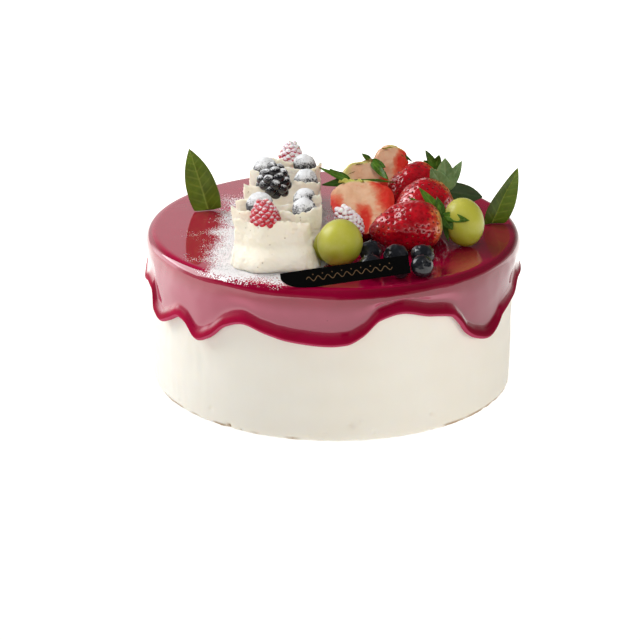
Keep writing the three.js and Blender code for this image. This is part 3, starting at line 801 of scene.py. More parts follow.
def cream_bed():
    bed = CREAM_BED
    size = np.array([(bed["right"] - bed["left"]) / 2, (bed["back"] - bed["front"]) / 2, bed["height"]])
    middle = ((bed["left"] + bed["right"]) / 2, (bed["front"] + bed["back"]) / 2, SEAT)
    profile = eased_section([(0.9, 0), (1.0, 0), (1.02, 0.4), (0.86, 0.9), (0.6, 1), (0.1, 1)], 24)
    rings = revolved(profile[:, 0], profile[:, 1], round_angles(90))
    verts, faces = ringed(rings, (0, 0, 0), (0, 0, 1))
    return verts * size + middle, faces


def remeshed(name, verts, faces, voxel):
    """Points and faces of one even skin round everything given."""
    rough = make_mesh(name, verts, faces, [])
    change = rough.modifiers.new("skin", "REMESH")
    change.mode = "VOXEL"
    change.voxel_size = voxel * MM
    shape = rough.evaluated_get(bpy.context.evaluated_depsgraph_get())
    mesh = bpy.data.meshes.new_from_object(shape)
    points = np.empty(len(mesh.vertices) * 3)
    mesh.vertices.foreach_get("co", points)
    normals = np.empty(len(mesh.vertices) * 3)
    mesh.vertices.foreach_get("normal", normals)
    sides = [list(p.vertices) for p in mesh.polygons]
    bpy.data.objects.remove(rough)
    return points.reshape(-1, 3) / MM, normals.reshape(-1, 3), sides


# Small bubbles and dents in the front fold: x, y and height above the seat, radius
CREAM_PITS = [
    (-47, -76.5, 16.0, 0.7), (-37.5, -77, 13.8, 0.6), (-24.5, -77, 16.5, 0.7), (-23.5, -77, 12.5, 0.7),
    (-46.5, -78, 6.0, 0.7), (-36.8, -78.5, 2.6, 0.7), (-29.5, -78, 4.2, 0.5), (-51.5, -58, 20, 0.8),
]


def build_cream():
    parts = [cream_bed()] + [cream_fold(fold, i) for i, fold in enumerate(FOLDS)]
    verts, faces = merged(parts)
    verts, normals, faces = remeshed("cream_blank", verts, faces, CREAM_VOXEL)
    grain = 0.08 * ripple(verts, 2.4, 60) + 0.2 * ripple(verts, 9, 61) + 0.035 * ripple(verts, 1.3, 62)
    verts = verts + normals * grain[:, None]
    for x, y, z, radius in CREAM_PITS:
        near = np.hypot(verts[:, 0] - x, verts[:, 2] - SEAT - z) / radius
        ahead = smooth(-verts[:, 1], -y - 8, -y - 4)
        verts -= normals * (0.6 * np.exp(-near ** 2) * ahead)[:, None]
    floor = node_box("piped_cream")[0][2]
    verts[:, 2] = np.maximum(verts[:, 2], floor)
    look = cream_look(
        "whipped_cream", (0.86, 0.815, 0.72), (0.83, 0.775, 0.655), grain=0.26, brown=0.5,
        pitted=1.0, softness=0.4, reach=0.002,
    )
    add_piece("cream_folds", verts, faces, [look], "piped_cream", "piped_cream")


# ---------- round fruit ----------

# Radius, then half the length of a grape or the length of a berry, then direction of the stem end
SUGARED_BLUEBERRIES = [
    (6.7, (-0.5, 0.4, 0.7)), (6.6, (0.4, 0.3, 0.8)), (6.8, (0.5, -0.3, 0.5)),
    (6.3, (-0.4, 0.5, 0.6)), (7.0, (0.8, -0.2, 0.3)), (7.4, (-0.3, 0.1, 0.9)),
]
BLUEBERRIES = {
    "a": (6.4, (0.3, 0.2, 0.9)), "b": (6.9, (-0.7, -0.5, 0.5)), "c": (6.6, (0.6, 0.6, 0.4)),
    "d": (6.0, (0.4, -0.6, 0.5)), "e": (6.3, (-0.2, 0.3, 0.9)), "f": (5.3, (0.7, -0.6, 0.2)),
}
GRAPES = {
    "front": (12.0, 12.9, (0.3, -0.2, 1)), "right": (10.9, 13.4, (-0.25, 0.1, 1)),
    "small": (6.5, 8.2, (0, 0, 1)),
}
GRAPE_SMALL_CENTRE = (-4.1, -58.6, 95.4)
RASPBERRIES = {
    "front": (8.9, 19.5, (0.12, -0.1, -1)), "rear": (7.4, 16.5, (-0.1, 0.2, -1)),
    "side": (8.4, 23, (0.42, 0.1, -0.9)),
}
BRAMBLE = (10.2, 20.5, (-0.1, -0.1, -1))
GOLDEN_ANGLE = math.pi * (3 - math.sqrt(5))
RASPBERRY_DRUPELET = 2.9
BRAMBLE_DRUPELET = 5.0
COARSE_DRUPELET = 4                    # above this size a drupelet gets a finer mesh
POWDER = (0.84, 0.85, 0.87)


def ball_rings(radius, half_length, rows, around):
    """Rings of an egg-shaped ball from its foot to its top, without the two poles."""
    polar = np.linspace(0, np.pi, rows + 2)[1:-1]
    return revolved(radius * np.sin(polar), -half_length * np.cos(polar), round_angles(around))


def blueberry(radius, seed, crown=1.0):
    """A flattened ball with the five-lobed ring and hollow of its flower end on top."""
    rings = ball_rings(radius, radius * 0.9, 56, 72)
    points = rings.reshape(-1, 3)
    reach = np.hypot(points[:, 0], points[:, 1]) / radius
    lobes = 0.75 + 0.25 * np.cos(5 * np.arctan2(points[:, 1], points[:, 0]))
    ring = np.exp(-((reach - 0.36) / 0.075) ** 2) * lobes
    top = points[:, 2] > 0
    points[:, 2] += top * crown * radius * (0.17 * ring - 0.14 * smooth(-reach, -0.36, -0.24))
    dent = 0.014 * radius * ripple(points, 5, seed) + 0.006 * radius * ripple(points, 1.8, seed + 1)
    points *= 1 + (dent / radius)[:, None]
    return ringed(rings, (0, 0, -radius * 0.9), (0, 0, radius * (0.9 - 0.14 * crown)))


def grape(radius, half_length, seed):
    rings = ball_rings(radius, half_length, 64, 80)
    points = rings.reshape(-1, 3)
    points *= 1 + (0.004 * ripple(points, 14, seed))[:, None]
    return ringed(rings, (0, 0, -half_length), (0, 0, half_length))


def berry_radius(share, radius):
    """Radius of a drupelet berry at a share of its length from the tip."""
    width = np.sin(np.pi * np.minimum(1, 0.12 + 0.88 * share)) ** 0.55
    return radius * width * (0.55 + 0.45 * np.minimum(1, share * 1.4))


def drupelet_spots(radius, length, size):
    """Reach and height of each drupelet, spread evenly over the berry from tip to wide end."""
    share = np.linspace(0, 1, 400)
    reach = np.maximum(berry_radius(share, radius) - 0.36 * size, 0.05)
    z = (length - 0.7 * size) * (share - 0.5)
    strip = np.hypot(np.diff(reach), np.diff(z)) * (reach[1:] + reach[:-1]) * np.pi
    area = np.concatenate([[0], np.cumsum(strip)])
    count = round(area[-1] / (0.80 * size ** 2))
    step = np.arange(float(len(share)))
    at = np.interp((np.arange(count) + 0.5) / count * area[-1], area, step)
    return zip(np.interp(at, step, reach), np.interp(at, step, z))


def drupelet_berry(radius, length, size, seed):
    """Small balls in a spiral over a dark core, from the blunt tip to the wide end."""
    draw = np.random.default_rng(seed)
    places, frames, sizes = [], [], []
    for k, (r, level) in enumerate(drupelet_spots(radius, length, size)):
        angle = k * GOLDEN_ANGLE + draw.uniform(-0.05, 0.05)
        side = np.array([math.cos(angle), math.sin(angle), 0])
        out = unit(side * r / radius + (0, 0, 1.1 * level / length))
        places.append(side * r + (0, 0, level) + draw.uniform(-0.05, 0.05, 3) * size)
        frames.append(basis(out, (-side[1], side[0], 0.2)))
        wide = 0.58 * size * draw.uniform(0.96, 1.12)
        sizes.append((wide, wide * 1.12, 0.62 * size * draw.uniform(0.92, 1.08)))
    balls = copies(ball(3 if size > COARSE_DRUPELET else 2), places, frames, sizes)
    core_share = np.linspace(0.02, 0.98, 18)
    core_reach = np.maximum(berry_radius(core_share, radius) - 0.6 * size, 0.1)
    core = revolved(core_reach, length * (core_share - 0.5) * 0.9, round_angles(24))
    return merged([balls, ringed(core, (0, 0, -0.46 * length), (0, 0, 0.46 * length))])


def set_down(verts, stem, node):
    """Turns a fruit's +Z to its stem and puts it where its node stands."""
    return settled(verts @ basis(stem), node)


def add_fruit(name, skin, stem, look, slot, node):
    verts, faces = skin
    add_piece(name, set_down(verts, stem, node), faces, [look], slot, node)


def build_blueberries():
    sugared = dusted_look(
        "sugared_blueberry", (0.022, 0.024, 0.032), (0.008, 0.009, 0.012), POWDER, low=-0.1,
        high=0.75, Roughness=0.5,
    )
    slot = "sugared_blueberry"
    for i, (radius, stem) in enumerate(SUGARED_BLUEBERRIES, 1):
        skin = blueberry(radius, 69 + i, crown=0.35)
        add_fruit(f"frosted_{i}", skin, stem, sugared, slot, f"{slot}_{i}")
    fresh = blueberry_look()
    for i, (name, (radius, stem)) in enumerate(BLUEBERRIES.items()):
        skin = blueberry(radius, 80 + 2 * i)
        add_fruit(f"fresh_{name}", skin, stem, fresh, "blueberry", f"blueberry_{name}")


def build_grapes():
    skin = grape_look()
    for i, (name, (radius, half_length, stem)) in enumerate(GRAPES.items()):
        node = f"grape_{name}"
        verts, faces = grape(radius, half_length, 95 + i)
        if name == "small":
            verts = verts @ basis(stem) + GRAPE_SMALL_CENTRE
        else:
            verts = set_down(verts, stem, node)
        add_piece(f"green_grape_{name}", verts, faces, [skin], "grape", node)


def build_drupelet_berries():
    red = dusted_look(
        "raspberry", (0.58, 0.016, 0.040), (0.44, 0.007, 0.020), (0.92, 0.82, 0.85), low=0.35,
        high=1.05, Roughness=0.35, Subsurface_Weight=0.3, Subsurface_Scale=0.0015, Coat_Weight=0.3,
    )
    heavy = dusted_look(
        "powdered_raspberry", (0.60, 0.030, 0.08), (0.46, 0.012, 0.04), (0.90, 0.84, 0.87),
        low=-0.4, high=0.4, Roughness=0.4, Subsurface_Weight=0.2, Subsurface_Scale=0.0015,
    )
    for i, (name, (radius, length, stem)) in enumerate(RASPBERRIES.items()):
        look = red if name == "front" else heavy
        berry = drupelet_berry(radius, length, RASPBERRY_DRUPELET, 110 + i)
        add_fruit(f"red_berry_{name}", berry, stem, look, "raspberry", f"raspberry_{name}")
    dark = dusted_look(
        "dark_bramble", (0.010, 0.010, 0.013), (0.003, 0.003, 0.004), POWDER, low=0.56, high=0.9,
        Roughness=0.25, Coat_Weight=0.5,
    )
    radius, length, stem = BRAMBLE
    berry = drupelet_berry(radius, length, BRAMBLE_DRUPELET, 120)
    add_fruit("dark_berry", berry, stem, dark, "dark_bramble", "dark_bramble")


# ---------- strawberries ----------

# Radius, length, direction of the stem end
STRAWBERRIES = {
    "front": (13.6, 40, (0.98, 0.02, 0.13)),
    "middle": (14.4, 35.5, (0.66, 0.52, 0.42)),
    "rear": (11.5, 34, (0.78, 0.45, 0.38)),
}
# Centre, radius, length, direction of the stem end, direction that the cut face looks in
STRAWBERRY_HALVES = {
    "front": ((16.4, -17.5, 103.2), 17.5, 38, (-0.06, 0.84, 0.54), (0.02, -0.54, 0.84)),
    "middle": ((17.4, 18.0, 101.7), 14.2, 32, (-0.16, 0.5, 0.86), (0.02, -0.87, 0.5)),
    "rear": ((30.2, 39.0, 103.4), 10.8, 36, (0.3, 0.36, 0.9), (-0.05, -0.92, 0.4)),
}
SEED_SPACING = 3.7
STRAWBERRY_ROWS = 110                  # rings of points along a strawberry
HALF_AROUND = 90                       # points round the skin of a half


def strawberry_width(t):
    """Width of the fruit, of 1, at a share of its length from the stem end to the tip."""
    shoulder, tip = 0.40, 0.62
    widest = shoulder / (shoulder + tip)
    return t ** shoulder * (1 - t) ** tip / (widest ** shoulder * (1 - widest) ** tip)


def seed_spots(radius, length):
    """Where the achenes sit, in staggered rows, with the skin's outward direction there."""
    t = np.linspace(0.001, 0.999, 600)
    reach, z = radius * strawberry_width(t), length * (0.5 - t)
    run = np.concatenate([[0], np.cumsum(np.hypot(np.diff(reach), np.diff(z)))])
    spots, outs = [], []
    rows = int(run[-1] / (0.86 * SEED_SPACING))
    for row in range(2, rows):
        at = (row + 0.3) / rows * run[-1]
        r, level = np.interp(at, run, reach), np.interp(at, run, z)
        slope = unit((np.interp(at + 0.5, run, reach) - r, np.interp(at + 0.5, run, z) - level))
        count = max(2, round(2 * np.pi * r / SEED_SPACING))
        for k in range(count):
            angle = 2 * np.pi * (k + 0.5 * (row % 2) + 0.12 * math.sin(5.1 * k + 2.3 * row)) / count
            side = np.array([math.cos(angle), math.sin(angle), 0])
            spots.append(side * r + (0, 0, level))
            outs.append(unit(side * -slope[1] + (0, 0, slope[0])))
    return np.array(spots), np.array(outs)


def dimpled(points, radius, length, seed):
    """The skin pushed in round each achene, with uneven swellings; also how deep each dimple is."""
    spots = seed_spots(radius, length)[0]
    depth = np.zeros(len(points))
    for spot in spots:
        near = np.linalg.norm(points - spot, axis=1)
        depth = np.maximum(depth, np.exp(-(near / 0.75) ** 2))
    reach = np.linalg.norm(points, axis=1)
    swell = 0.35 * ripple(points, 16, seed) + 0.12 * ripple(points, 6, seed + 1)
    return points * (1 + (swell - 0.42 * depth) / reach)[:, None], depth


def strawberry_rings(radius, length, rows, angles):
    t = (1 - np.cos(np.linspace(0, np.pi, rows + 2)))[1:-1] / 2
    return revolved(radius * strawberry_width(t), length * (0.5 - t), angles)


def achenes(radius, length, half=False):
    spots, outs = seed_spots(radius, length)
    if half:
        keep = spots[:, 1] < -1.0
        spots, outs = spots[keep], outs[keep]
    frames = [basis(out, (0, 0, -1)) for out in outs]
    return copies(ball(1), spots - 0.28 * outs, frames, [(0.36, 0.62, 0.26)] * len(spots))


def paint(piece, numbers):
    """Gives each face the material of its number."""
    piece.data.polygons.foreach_set("material_index", np.asarray(numbers, np.int32))


def build_whole_strawberries(skin, seed):
    for i, (name, (radius, length, stem)) in enumerate(STRAWBERRIES.items()):
        rings = strawberry_rings(radius, length, STRAWBERRY_ROWS, round_angles(170))
        points, depth = dimpled(rings.reshape(-1, 3), radius, length, 130 + 3 * i)
        verts, faces = ringed(points.reshape(rings.shape), (0, 0, length / 2), (0, 0, -length / 2))
        seeds = achenes(radius, length)
        whole, sides = merged([(verts, faces), seeds])
        node = f"strawberry_{name}"
        placed = set_down(whole, stem, node)
        piece = add_piece(f"red_fruit_{name}", placed, sides, [skin, seed], "strawberry", node)
        paint(piece, np.arange(len(sides)) >= len(faces))
        mark(piece, "shoulder", 0.5 + whole[:, 2] / length)
        # dimple carries the painted shade in the hollows round the achenes.
        mark(piece, "dimple", np.concatenate([[0], depth, [0], np.zeros(len(seeds[0]))]) * 0.6)


def cut_face(rings, order):
    """Points over a half's cut, which swells a little; also half the cut's width at each ring."""
    across = np.linspace(1, -1, 72)[1:-1]
    edge = (rings[:, -1, 0] - rings[:, 0, 0])[:, None] / 2
    middle = (rings[:, -1, 0] + rings[:, 0, 0])[:, None] / 2
    face = np.zeros((len(rings), len(across), 3))
    face[..., 0] = middle + edge * across
    face[..., 2] = rings[:, :1, 2]
    flat = face.reshape(-1, 3)
    border = 1 - smooth(np.abs(np.broadcast_to(across, face.shape[:2])).ravel(), 0.8, 1.0)
    relief = 0.12 * ripple(flat, 7, 160 + order) + 0.04 * ripple(flat, 2.5, 170 + order)
    flat[:, 1] = (relief + 0.7) * border
    return flat.reshape(face.shape), edge[:, 0]


def mark_flesh(piece, name, verts, length, half_width, levels):
    """Where the cut flesh is red or unripe, from the width of the cut at each level."""
    widest = np.interp(verts[:, 2], levels[::-1], np.maximum(half_width[::-1], 0.5))
    rightward = -verts[:, 0] / widest
    t = 0.5 - verts[:, 2] / length
    mark(piece, "shoulder", 0.5 + verts[:, 2] / length)
    mark(piece, "redness", CUT_REDNESS[name](rightward, t))
    mark(piece, "unripe", unripe(rightward, t, name))


def build_half(order, name, skin, seed, flesh):
    centre, radius, length, stem, facing = STRAWBERRY_HALVES[name]
    rings = strawberry_rings(radius, length, STRAWBERRY_ROWS, np.linspace(np.pi, 2 * np.pi, HALF_AROUND))
    points, depth = dimpled(rings.reshape(-1, 3), radius, length, 150 + 3 * order)
    rings = points.reshape(rings.shape)
    face, half_width = cut_face(rings, order)
    whole = np.concatenate([rings, face], 1)
    verts, faces = ringed(whole, (0, 0, length / 2), (0, 0, -length / 2))
    seeds = achenes(radius, length, True)
    all_verts, sides = merged([(verts, faces), seeds])
    placed = all_verts @ basis(stem, facing) + centre
    node = f"strawberry_half_{name}"
    piece = add_piece(f"cut_fruit_{name}", placed, sides, [skin, seed, flesh], "strawberry_cut", node)
    cut = np.tile(np.arange(whole.shape[1]) >= HALF_AROUND - 1, len(whole) - 1)
    numbers = np.zeros(len(sides))
    numbers[:len(cut)] = 2 * cut
    numbers[len(faces):] = 1
    paint(piece, numbers)
    mark_flesh(piece, name, all_verts, length, half_width, rings[:, 0, 2])
    # dimple carries the painted shade in the hollows round the achenes.
    share = np.zeros(whole.shape[:2])
    share[:, :HALF_AROUND] = depth.reshape(len(rings), -1)
    dots = np.concatenate([[0], share.ravel(), [0], np.zeros(len(seeds[0]))])
    mark(piece, "dimple", dots * 0.7)


def heart(s, t, middle, top):
    """The red cone that runs down the middle of a cut face from a share of its length."""
    centre = middle + 0.12 * (t - top)
    width = 0.24 - 0.05 * t
    return smooth(-np.abs(s - centre), -1.8 * width, -0.3 * width) * smooth(t, top - 0.08, top + 0.12)


def front_redness(s, t):
    """Red from the right, at the lower left and in a cone towards the tip."""
    right = 1.1 * smooth(s, 0.15, 0.8) * (1 - smooth(t, 0.42, 0.68))
    left = 1.1 * smooth(-s, 0.4, 0.95) * smooth(t, 0.12, 0.45)
    low_right = 0.5 * smooth(s, 0.45, 0.95) * smooth(t, 0.45, 0.6)
    tip = 0.25 * smooth(t, 0.5, 0.9)
    return np.maximum(np.maximum(right, left), 0.9 * heart(s, t, 0.0, 0.42)) + low_right + tip


def middle_redness(s, t):
    """Pale, and red on the right from part of the way down."""
    return smooth(s + 1.2 * (t - 0.35), 0.45, 0.9) * smooth(t, 0.05, 0.25)


def rear_redness(s, t):
    """Pale on the left and red on the right."""
    return smooth(s + 0.15 * np.sin(9 * t), 0.0, 0.65) + 0.15 * smooth(t, 0.2, 0.6)


CUT_REDNESS = {"front": front_redness, "middle": middle_redness, "rear": rear_redness}


def unripe(s, t, name):
    """Where the cut flesh is greenish yellow: along the stem end, most of all on the left."""
    edge = 1 - smooth(t, 0.01, 0.06)
    if name == "middle":
        edge = np.maximum(edge, smooth(-s, 0.35, 0.85) * (1 - smooth(t, 0.2, 0.4)))
    return edge


def build_strawberries():
    skin, seed, flesh = strawberry_look(), seed_look(), cut_look()
    build_whole_strawberries(skin, seed)
    for order, name in enumerate(STRAWBERRY_HALVES):
        build_half(order, name, skin, seed, flesh)


# ---------- leaves ----------

# Hub and the way the sepals face, then each sepal's direction, length and half width,
# its tint (0 green, 1 yellow, 2 brown, below 0 darker) and how far its tip bends to the facing side
CALYXES = {
    "front": ((58.6, -35.2, 105.0), (0.2, -0.9, 0.3), [
        ((-0.64, 0.42, 0.64), 19.5, 2.8, 0, 0.1), ((-0.84, 0.3, 0.36), 21, 1.8, 0, 0.1),
        ((-0.3, 0.5, 0.82), 10.5, 2.6, -0.5, 0.1), ((0.84, -0.54, 0.02), 17, 2.6, -0.2, 0.0),
        ((0.5, -0.65, -0.55), 11, 3.2, -0.5, 0.1), ((0.22, -0.36, -0.92), 15, 1.5, -0.6, 0.1),
    ]),
    "middle": ((61.6, -2.2, 108.2), (-0.1, -0.9, 0.35), [
        ((-0.02, 0.2, 0.97), 18.5, 5.6, 0, 0.1), ((0.48, 0.4, 0.78), 19, 3.4, 0, 0.1),
        ((0.97, 0.2, -0.22), 22.5, 5.6, -0.75, -0.05), ((-0.52, 0.1, 0.8), 15.5, 5.0, 0, 0.1),
        ((0.5, 0.8, 0.1), 10, 2.6, -0.4, 0.1),
    ]),
    "rear": ((57.4, 35.2, 109.4), (0.1, -0.8, 0.5), [
        ((-0.5, 0.1, 0.86), 12, 2.4, -0.3, 0.1), ((0.26, 0, 0.97), 8.5, 2.6, -0.3, 0.1),
        ((0.95, -0.2, 0), 6, 2.4, -0.5, 0.1), ((-0.82, 0.2, 0.46), 8, 2.2, -0.3, 0.1),
    ]),
    "half_front": ((9.4, 0.6, 112.4), (0, -0.6, 0.8), [
        ((-0.84, 0.46, 0.3), 14, 2.2, -0.3, 0.1), ((-0.93, 0.12, 0.32), 19, 2.0, -0.1, 0.1),
        ((-0.97, -0.1, -0.16), 16, 2.8, -0.6, 0.1), ((0.99, 0.06, 0.12), 24.5, 0.9, -0.3, -0.28),
        ((0.5, -0.8, -0.45), 7.5, 1.8, 1, 0.1), ((-0.4, -0.8, -0.45), 8, 2.0, 1, 0.1),
        ((-0.95, -0.5, 0.0), 8, 1.7, 1, 0.2), ((0.95, -0.45, 0.0), 8.5, 1.6, 1, 0.2),
        ((0.0, -0.85, -0.5), 8, 2.2, 1, 0.1),
    ]),
    "half_middle": ((20.8, 26.8, 116.2), (0, -0.8, 0.5), [
        ((-0.72, 0.2, 0.5), 6.5, 1.6, 0, 0.1), ((0.56, -0.66, -0.46), 18, 2.4, 0, 0.1),
        ((0.84, -0.4, -0.3), 10, 2.4, -0.3, 0.1), ((-0.92, -0.2, -0.22), 9, 0.9, 1.7, 0.1),
        ((-0.8, -0.2, -0.5), 16, 1.0, 1.8, 0.1),
    ]),
    "half_rear": ((34.4, 45.6, 118.0), (0, -0.8, 0.5), [
        ((-0.88, -0.3, 0), 8, 0.8, 1.4, 0.1), ((0.76, -0.36, -0.5), 14, 1.0, -0.6, 0.05),
    ]),
}
# Length, half width, direction, the way it faces, width of its foot as a share, fold,
# and how far it's moved from its node's middle
LEAVES = {
    "left": (38.5, 8.7, (-0.29, 0, 1), (0.1, -1, 0), 0.8, 0.22, (0.8, 0, -1.2)),
    "right": (37.5, 7.4, (0.41, 0, 1), (0.35, -1, 0), 0.5, 0.4, (-0.6, 0, -2.2)),
}
LEAF_WIDEST = 0.27                     # share of the length at which a leaf is widest
LEAF_TIP = 2.3                         # the higher it is, the blunter the tip
CALYX_BUTTON = 1.4                     # radius of the button that the sepals grow from


def leaf_outline(t, foot):
    """Half width, of 1, at a share of the length from a foot of the width given to the tip."""
    rising = foot + (1 - foot) * np.sin(np.pi / 2 * np.minimum(t / LEAF_WIDEST, 1)) ** 0.8
    late = np.clip((t - LEAF_WIDEST) / (1 - LEAF_WIDEST), 0, 1)
    return np.where(t < LEAF_WIDEST, rising, 1 - late ** LEAF_TIP)


def leaf_shape(length, half_width, foot, thickness, curl, wave, fold, rows, columns, veins):
    """A thin leaf along +Z that faces +Y; also how near each point is to a vein."""
    t, s = np.meshgrid(np.linspace(0, 1, rows), np.linspace(-1, 1, columns), indexing="ij")
    width = np.maximum(half_width * leaf_outline(t, foot), 0.02)
    y = curl * length * t ** 2 + wave * np.sin(9 * t + 2 * s) + fold * width * np.abs(s)
    midrib = np.exp(-(s * width / (0.035 * half_width * (1.6 - t))) ** 2)
    slant = (t * length - 0.75 * np.abs(s) * width) / (length / veins)
    branch = np.exp(-((slant - np.round(slant)) / 0.09) ** 2) * smooth(-np.abs(s), -1, -0.55)
    vein = np.clip(midrib + 0.45 * branch, 0, 1)
    y -= 0.10 * branch + 0.2 * midrib
    half = thickness * (1 - 0.5 * np.abs(s)) * np.sqrt(np.clip(24 * t, 0, 1))
    half[0], half[-1], half[:, 0], half[:, -1] = 0.02, 0.02, 0.02, 0.02
    upper = np.stack([s * width, y + half, t * length], -1)
    lower = np.stack([s * width, y - half, t * length], -1)
    rings = np.concatenate([upper, lower[:, ::-1]], 1)
    verts, faces = ringed(rings, rings[0].mean(0), rings[-1].mean(0))
    values = np.concatenate([vein, vein[:, ::-1]], 1).ravel()
    return verts, faces, np.concatenate([[0], values, [0]])


def build_calyx(name, hub, look, sepals, materials):
    parts, veins, tints = [], [], []
    for direction, length, half_width, tint, bend in sepals:
        wave = 0.9 if tint >= 1 else 0.3
        verts, faces, vein = leaf_shape(
            length, half_width, foot=0.3, thickness=0.35, curl=bend, wave=wave, fold=0.2,
            rows=36, columns=15, veins=5,
        )
        parts.append((verts @ basis(direction, look), faces))
        veins.append(vein)
        tints.append(np.full(len(verts), tint))
    button_verts, button_faces = ball(3)
    parts.append((button_verts * CALYX_BUTTON, button_faces))
    veins.append(np.zeros(len(button_verts)))
    tints.append(np.full(len(button_verts), tints[-1][0]))
    verts, faces = merged(parts)
    piece = add_piece(f"sepals_{name}", verts + hub, faces, materials, "calyx", f"calyx_{name}")
    mark(piece, "vein", 0.5 * np.concatenate(veins))
    mark(piece, "tint", np.concatenate(tints))


def build_greens():
    fresh = leaf_look("calyx_green", (0.070, 0.170, 0.010), (0.030, 0.080, 0.005), (0.20, 0.30, 0.05), 0.4)
    # The middle calyx is given a greyer green than the others.
    grey = leaf_look("calyx_grey_green", (0.16, 0.25, 0.10), (0.085, 0.15, 0.05), (0.30, 0.38, 0.20), 0.45)
    for name, (hub, look, sepals) in CALYXES.items():
        build_calyx(name, hub, look, sepals, [grey if name == "middle" else fresh])
    olive = leaf_look("leaf_green", (0.105, 0.170, 0.008), (0.070, 0.115, 0.006), (0.22, 0.28, 0.04), 0.4)
    for name, (length, half_width, along, facing, foot, fold, shift) in LEAVES.items():
        verts, faces, vein = leaf_shape(
            length, half_width, foot, thickness=0.5, curl=0.03, wave=0.45, fold=fold,
            rows=90, columns=41, veins=8,
        )
        placed = settled(verts @ basis(along, facing), f"leaf_{name}") + shift
        placed[:, 2] = np.maximum(placed[:, 2], SEAT + 0.1)
        piece = add_piece(f"blade_{name}", placed, faces, [olive], "leaf", f"leaf_{name}")
        mark(piece, "vein", vein)
        # One half of each leaf, either side of the midrib, is painted darker: painted shade on the half
        # turned from the light. The right leaf is also darker all over.
        across = (verts[:, 0] > 0) == (name == "left")
        shade = 0.0 if name == "left" else -0.2
        mark(piece, "tint", np.where(across, shade, shade - 0.25))


# ---------- plaque ----------

PLAQUE = {
    "length": 67, "height": 9.5, "thickness": 1.3, "corner": (17, 6.4),
    "lowest": (-9.0, -98.2, 87.0), "roll": 7.6, "lean": 26, "yaw": 3.4,
}


def plaque_turn():
    roll = Matrix.Rotation(math.radians(PLAQUE["roll"]), 3, "Z")
    lean = Matrix.Rotation(math.radians(90 - PLAQUE["lean"]), 3, "X")
    yaw = Matrix.Rotation(math.radians(PLAQUE["yaw"]), 3, "Z")
    return np.array(yaw @ lean @ roll)


def placed_on_plaque(verts):
    corner = PLAQUE["corner"][0]
    return (verts - (corner, 0, PLAQUE["thickness"])) @ plaque_turn().T + PLAQUE["lowest"]


def plaque_outline():
    """The slab's outline from the start of its straight lower edge round to the cut corner."""
    length, height = PLAQUE["length"], PLAQUE["height"]
    run, rise = PLAQUE["corner"]
    outline = [(run, 0), (length, 0), (length, height), (0, height), (0, rise)]
    for t in np.linspace(0, 1, 12)[1:-1]:
        x = 2 * t * (1 - t) * run * 0.15 + t ** 2 * run
        y = (1 - t) ** 2 * rise + 2 * t * (1 - t) * rise * 0.1
        outline.append((x, y))
    return outline


def slab(shape):
    """The plaque lying flat, with its edges eased."""
    base = [shape.verts.new((x, y, 0)) for x, y in plaque_outline()]
    raised = bmesh.ops.extrude_face_region(shape, geom=[shape.faces.new(base)])["geom"]
    for v in raised:
        if isinstance(v, bmesh.types.BMVert):
            v.co.z = PLAQUE["thickness"]
    bmesh.ops.bevel(shape, geom=shape.edges[:], offset=0.16, segments=2, affect="EDGES")


def build_plaque():
    look = plain_look(
        "dark_chocolate", (0.002, 0.002, 0.002), roughness=0.4, size=1.2, depth=0.02,
        Specular_IOR_Level=0.08,
    )
    verts, faces = template(slab)
    placed = placed_on_plaque(verts)
    piece = add_piece("dark_plaque", placed, faces, [look], "chocolate", "chocolate_plaque")
    piece.data.shade_flat()
    build_ornament()


# A wave with a dot over each dip: where it starts and ends along the plaque, and its size
WAVE = {"start": 13, "end": 58, "middle": 4.4, "pitch": 5, "height": 1.1, "half_width": 0.22}
DOTS = {"count": 9, "level": 6.6, "size": (0.36, 0.36, 0.12)}


def build_ornament():
    """The wave and its dots, brushed on in bronze."""
    look = plain_look("bronze_paint", (0.12, 0.065, 0.025), roughness=0.5, size=0.8, depth=0.02)
    thickness = PLAQUE["thickness"]
    x = np.linspace(WAVE["start"], WAVE["end"], 260)
    phase = (x - WAVE["start"]) * 2 * np.pi / WAVE["pitch"]
    y = WAVE["middle"] + WAVE["height"] * np.sin(phase)
    slope = WAVE["height"] * 2 * np.pi / WAVE["pitch"] * np.cos(phase)
    across = np.stack([-slope, np.ones_like(x)], -1)
    across /= np.linalg.norm(across, axis=1, keepdims=True)
    rings = []
    for side, up in ((-1, 0), (-0.7, 0.10), (0.7, 0.10), (1, 0)):
        aside = side * WAVE["half_width"] * across
        rings.append(np.stack([x + aside[:, 0], y + aside[:, 1], np.full_like(x, thickness + up)], -1))
    band = np.stack(rings, 1)
    stroke = ringed(band, band[0].mean(0), band[-1].mean(0))
    first, count = WAVE["start"] + 0.75 * WAVE["pitch"], DOTS["count"]
    spots = [(first + WAVE["pitch"] * k, DOTS["level"], thickness) for k in range(count)]
    dots = copies(ball(3), spots, [np.eye(3)] * count, [DOTS["size"]] * count)
    verts, faces = merged([stroke, dots])
    add_piece("wave_ornament", placed_on_plaque(verts), faces, [look], "chocolate")


# ---------- sugar ----------

SUGAR_FIELD = ((-92, -96), (6, 64))    # lowest and highest x and y at which a grain may fall
SUGAR_REACH = 95                       # farthest from the middle of the cake
SUGAR_TRIES = 60000
SUGAR_GRAINS = 12000
GRAIN_SIZES = (0.15, 0.37)


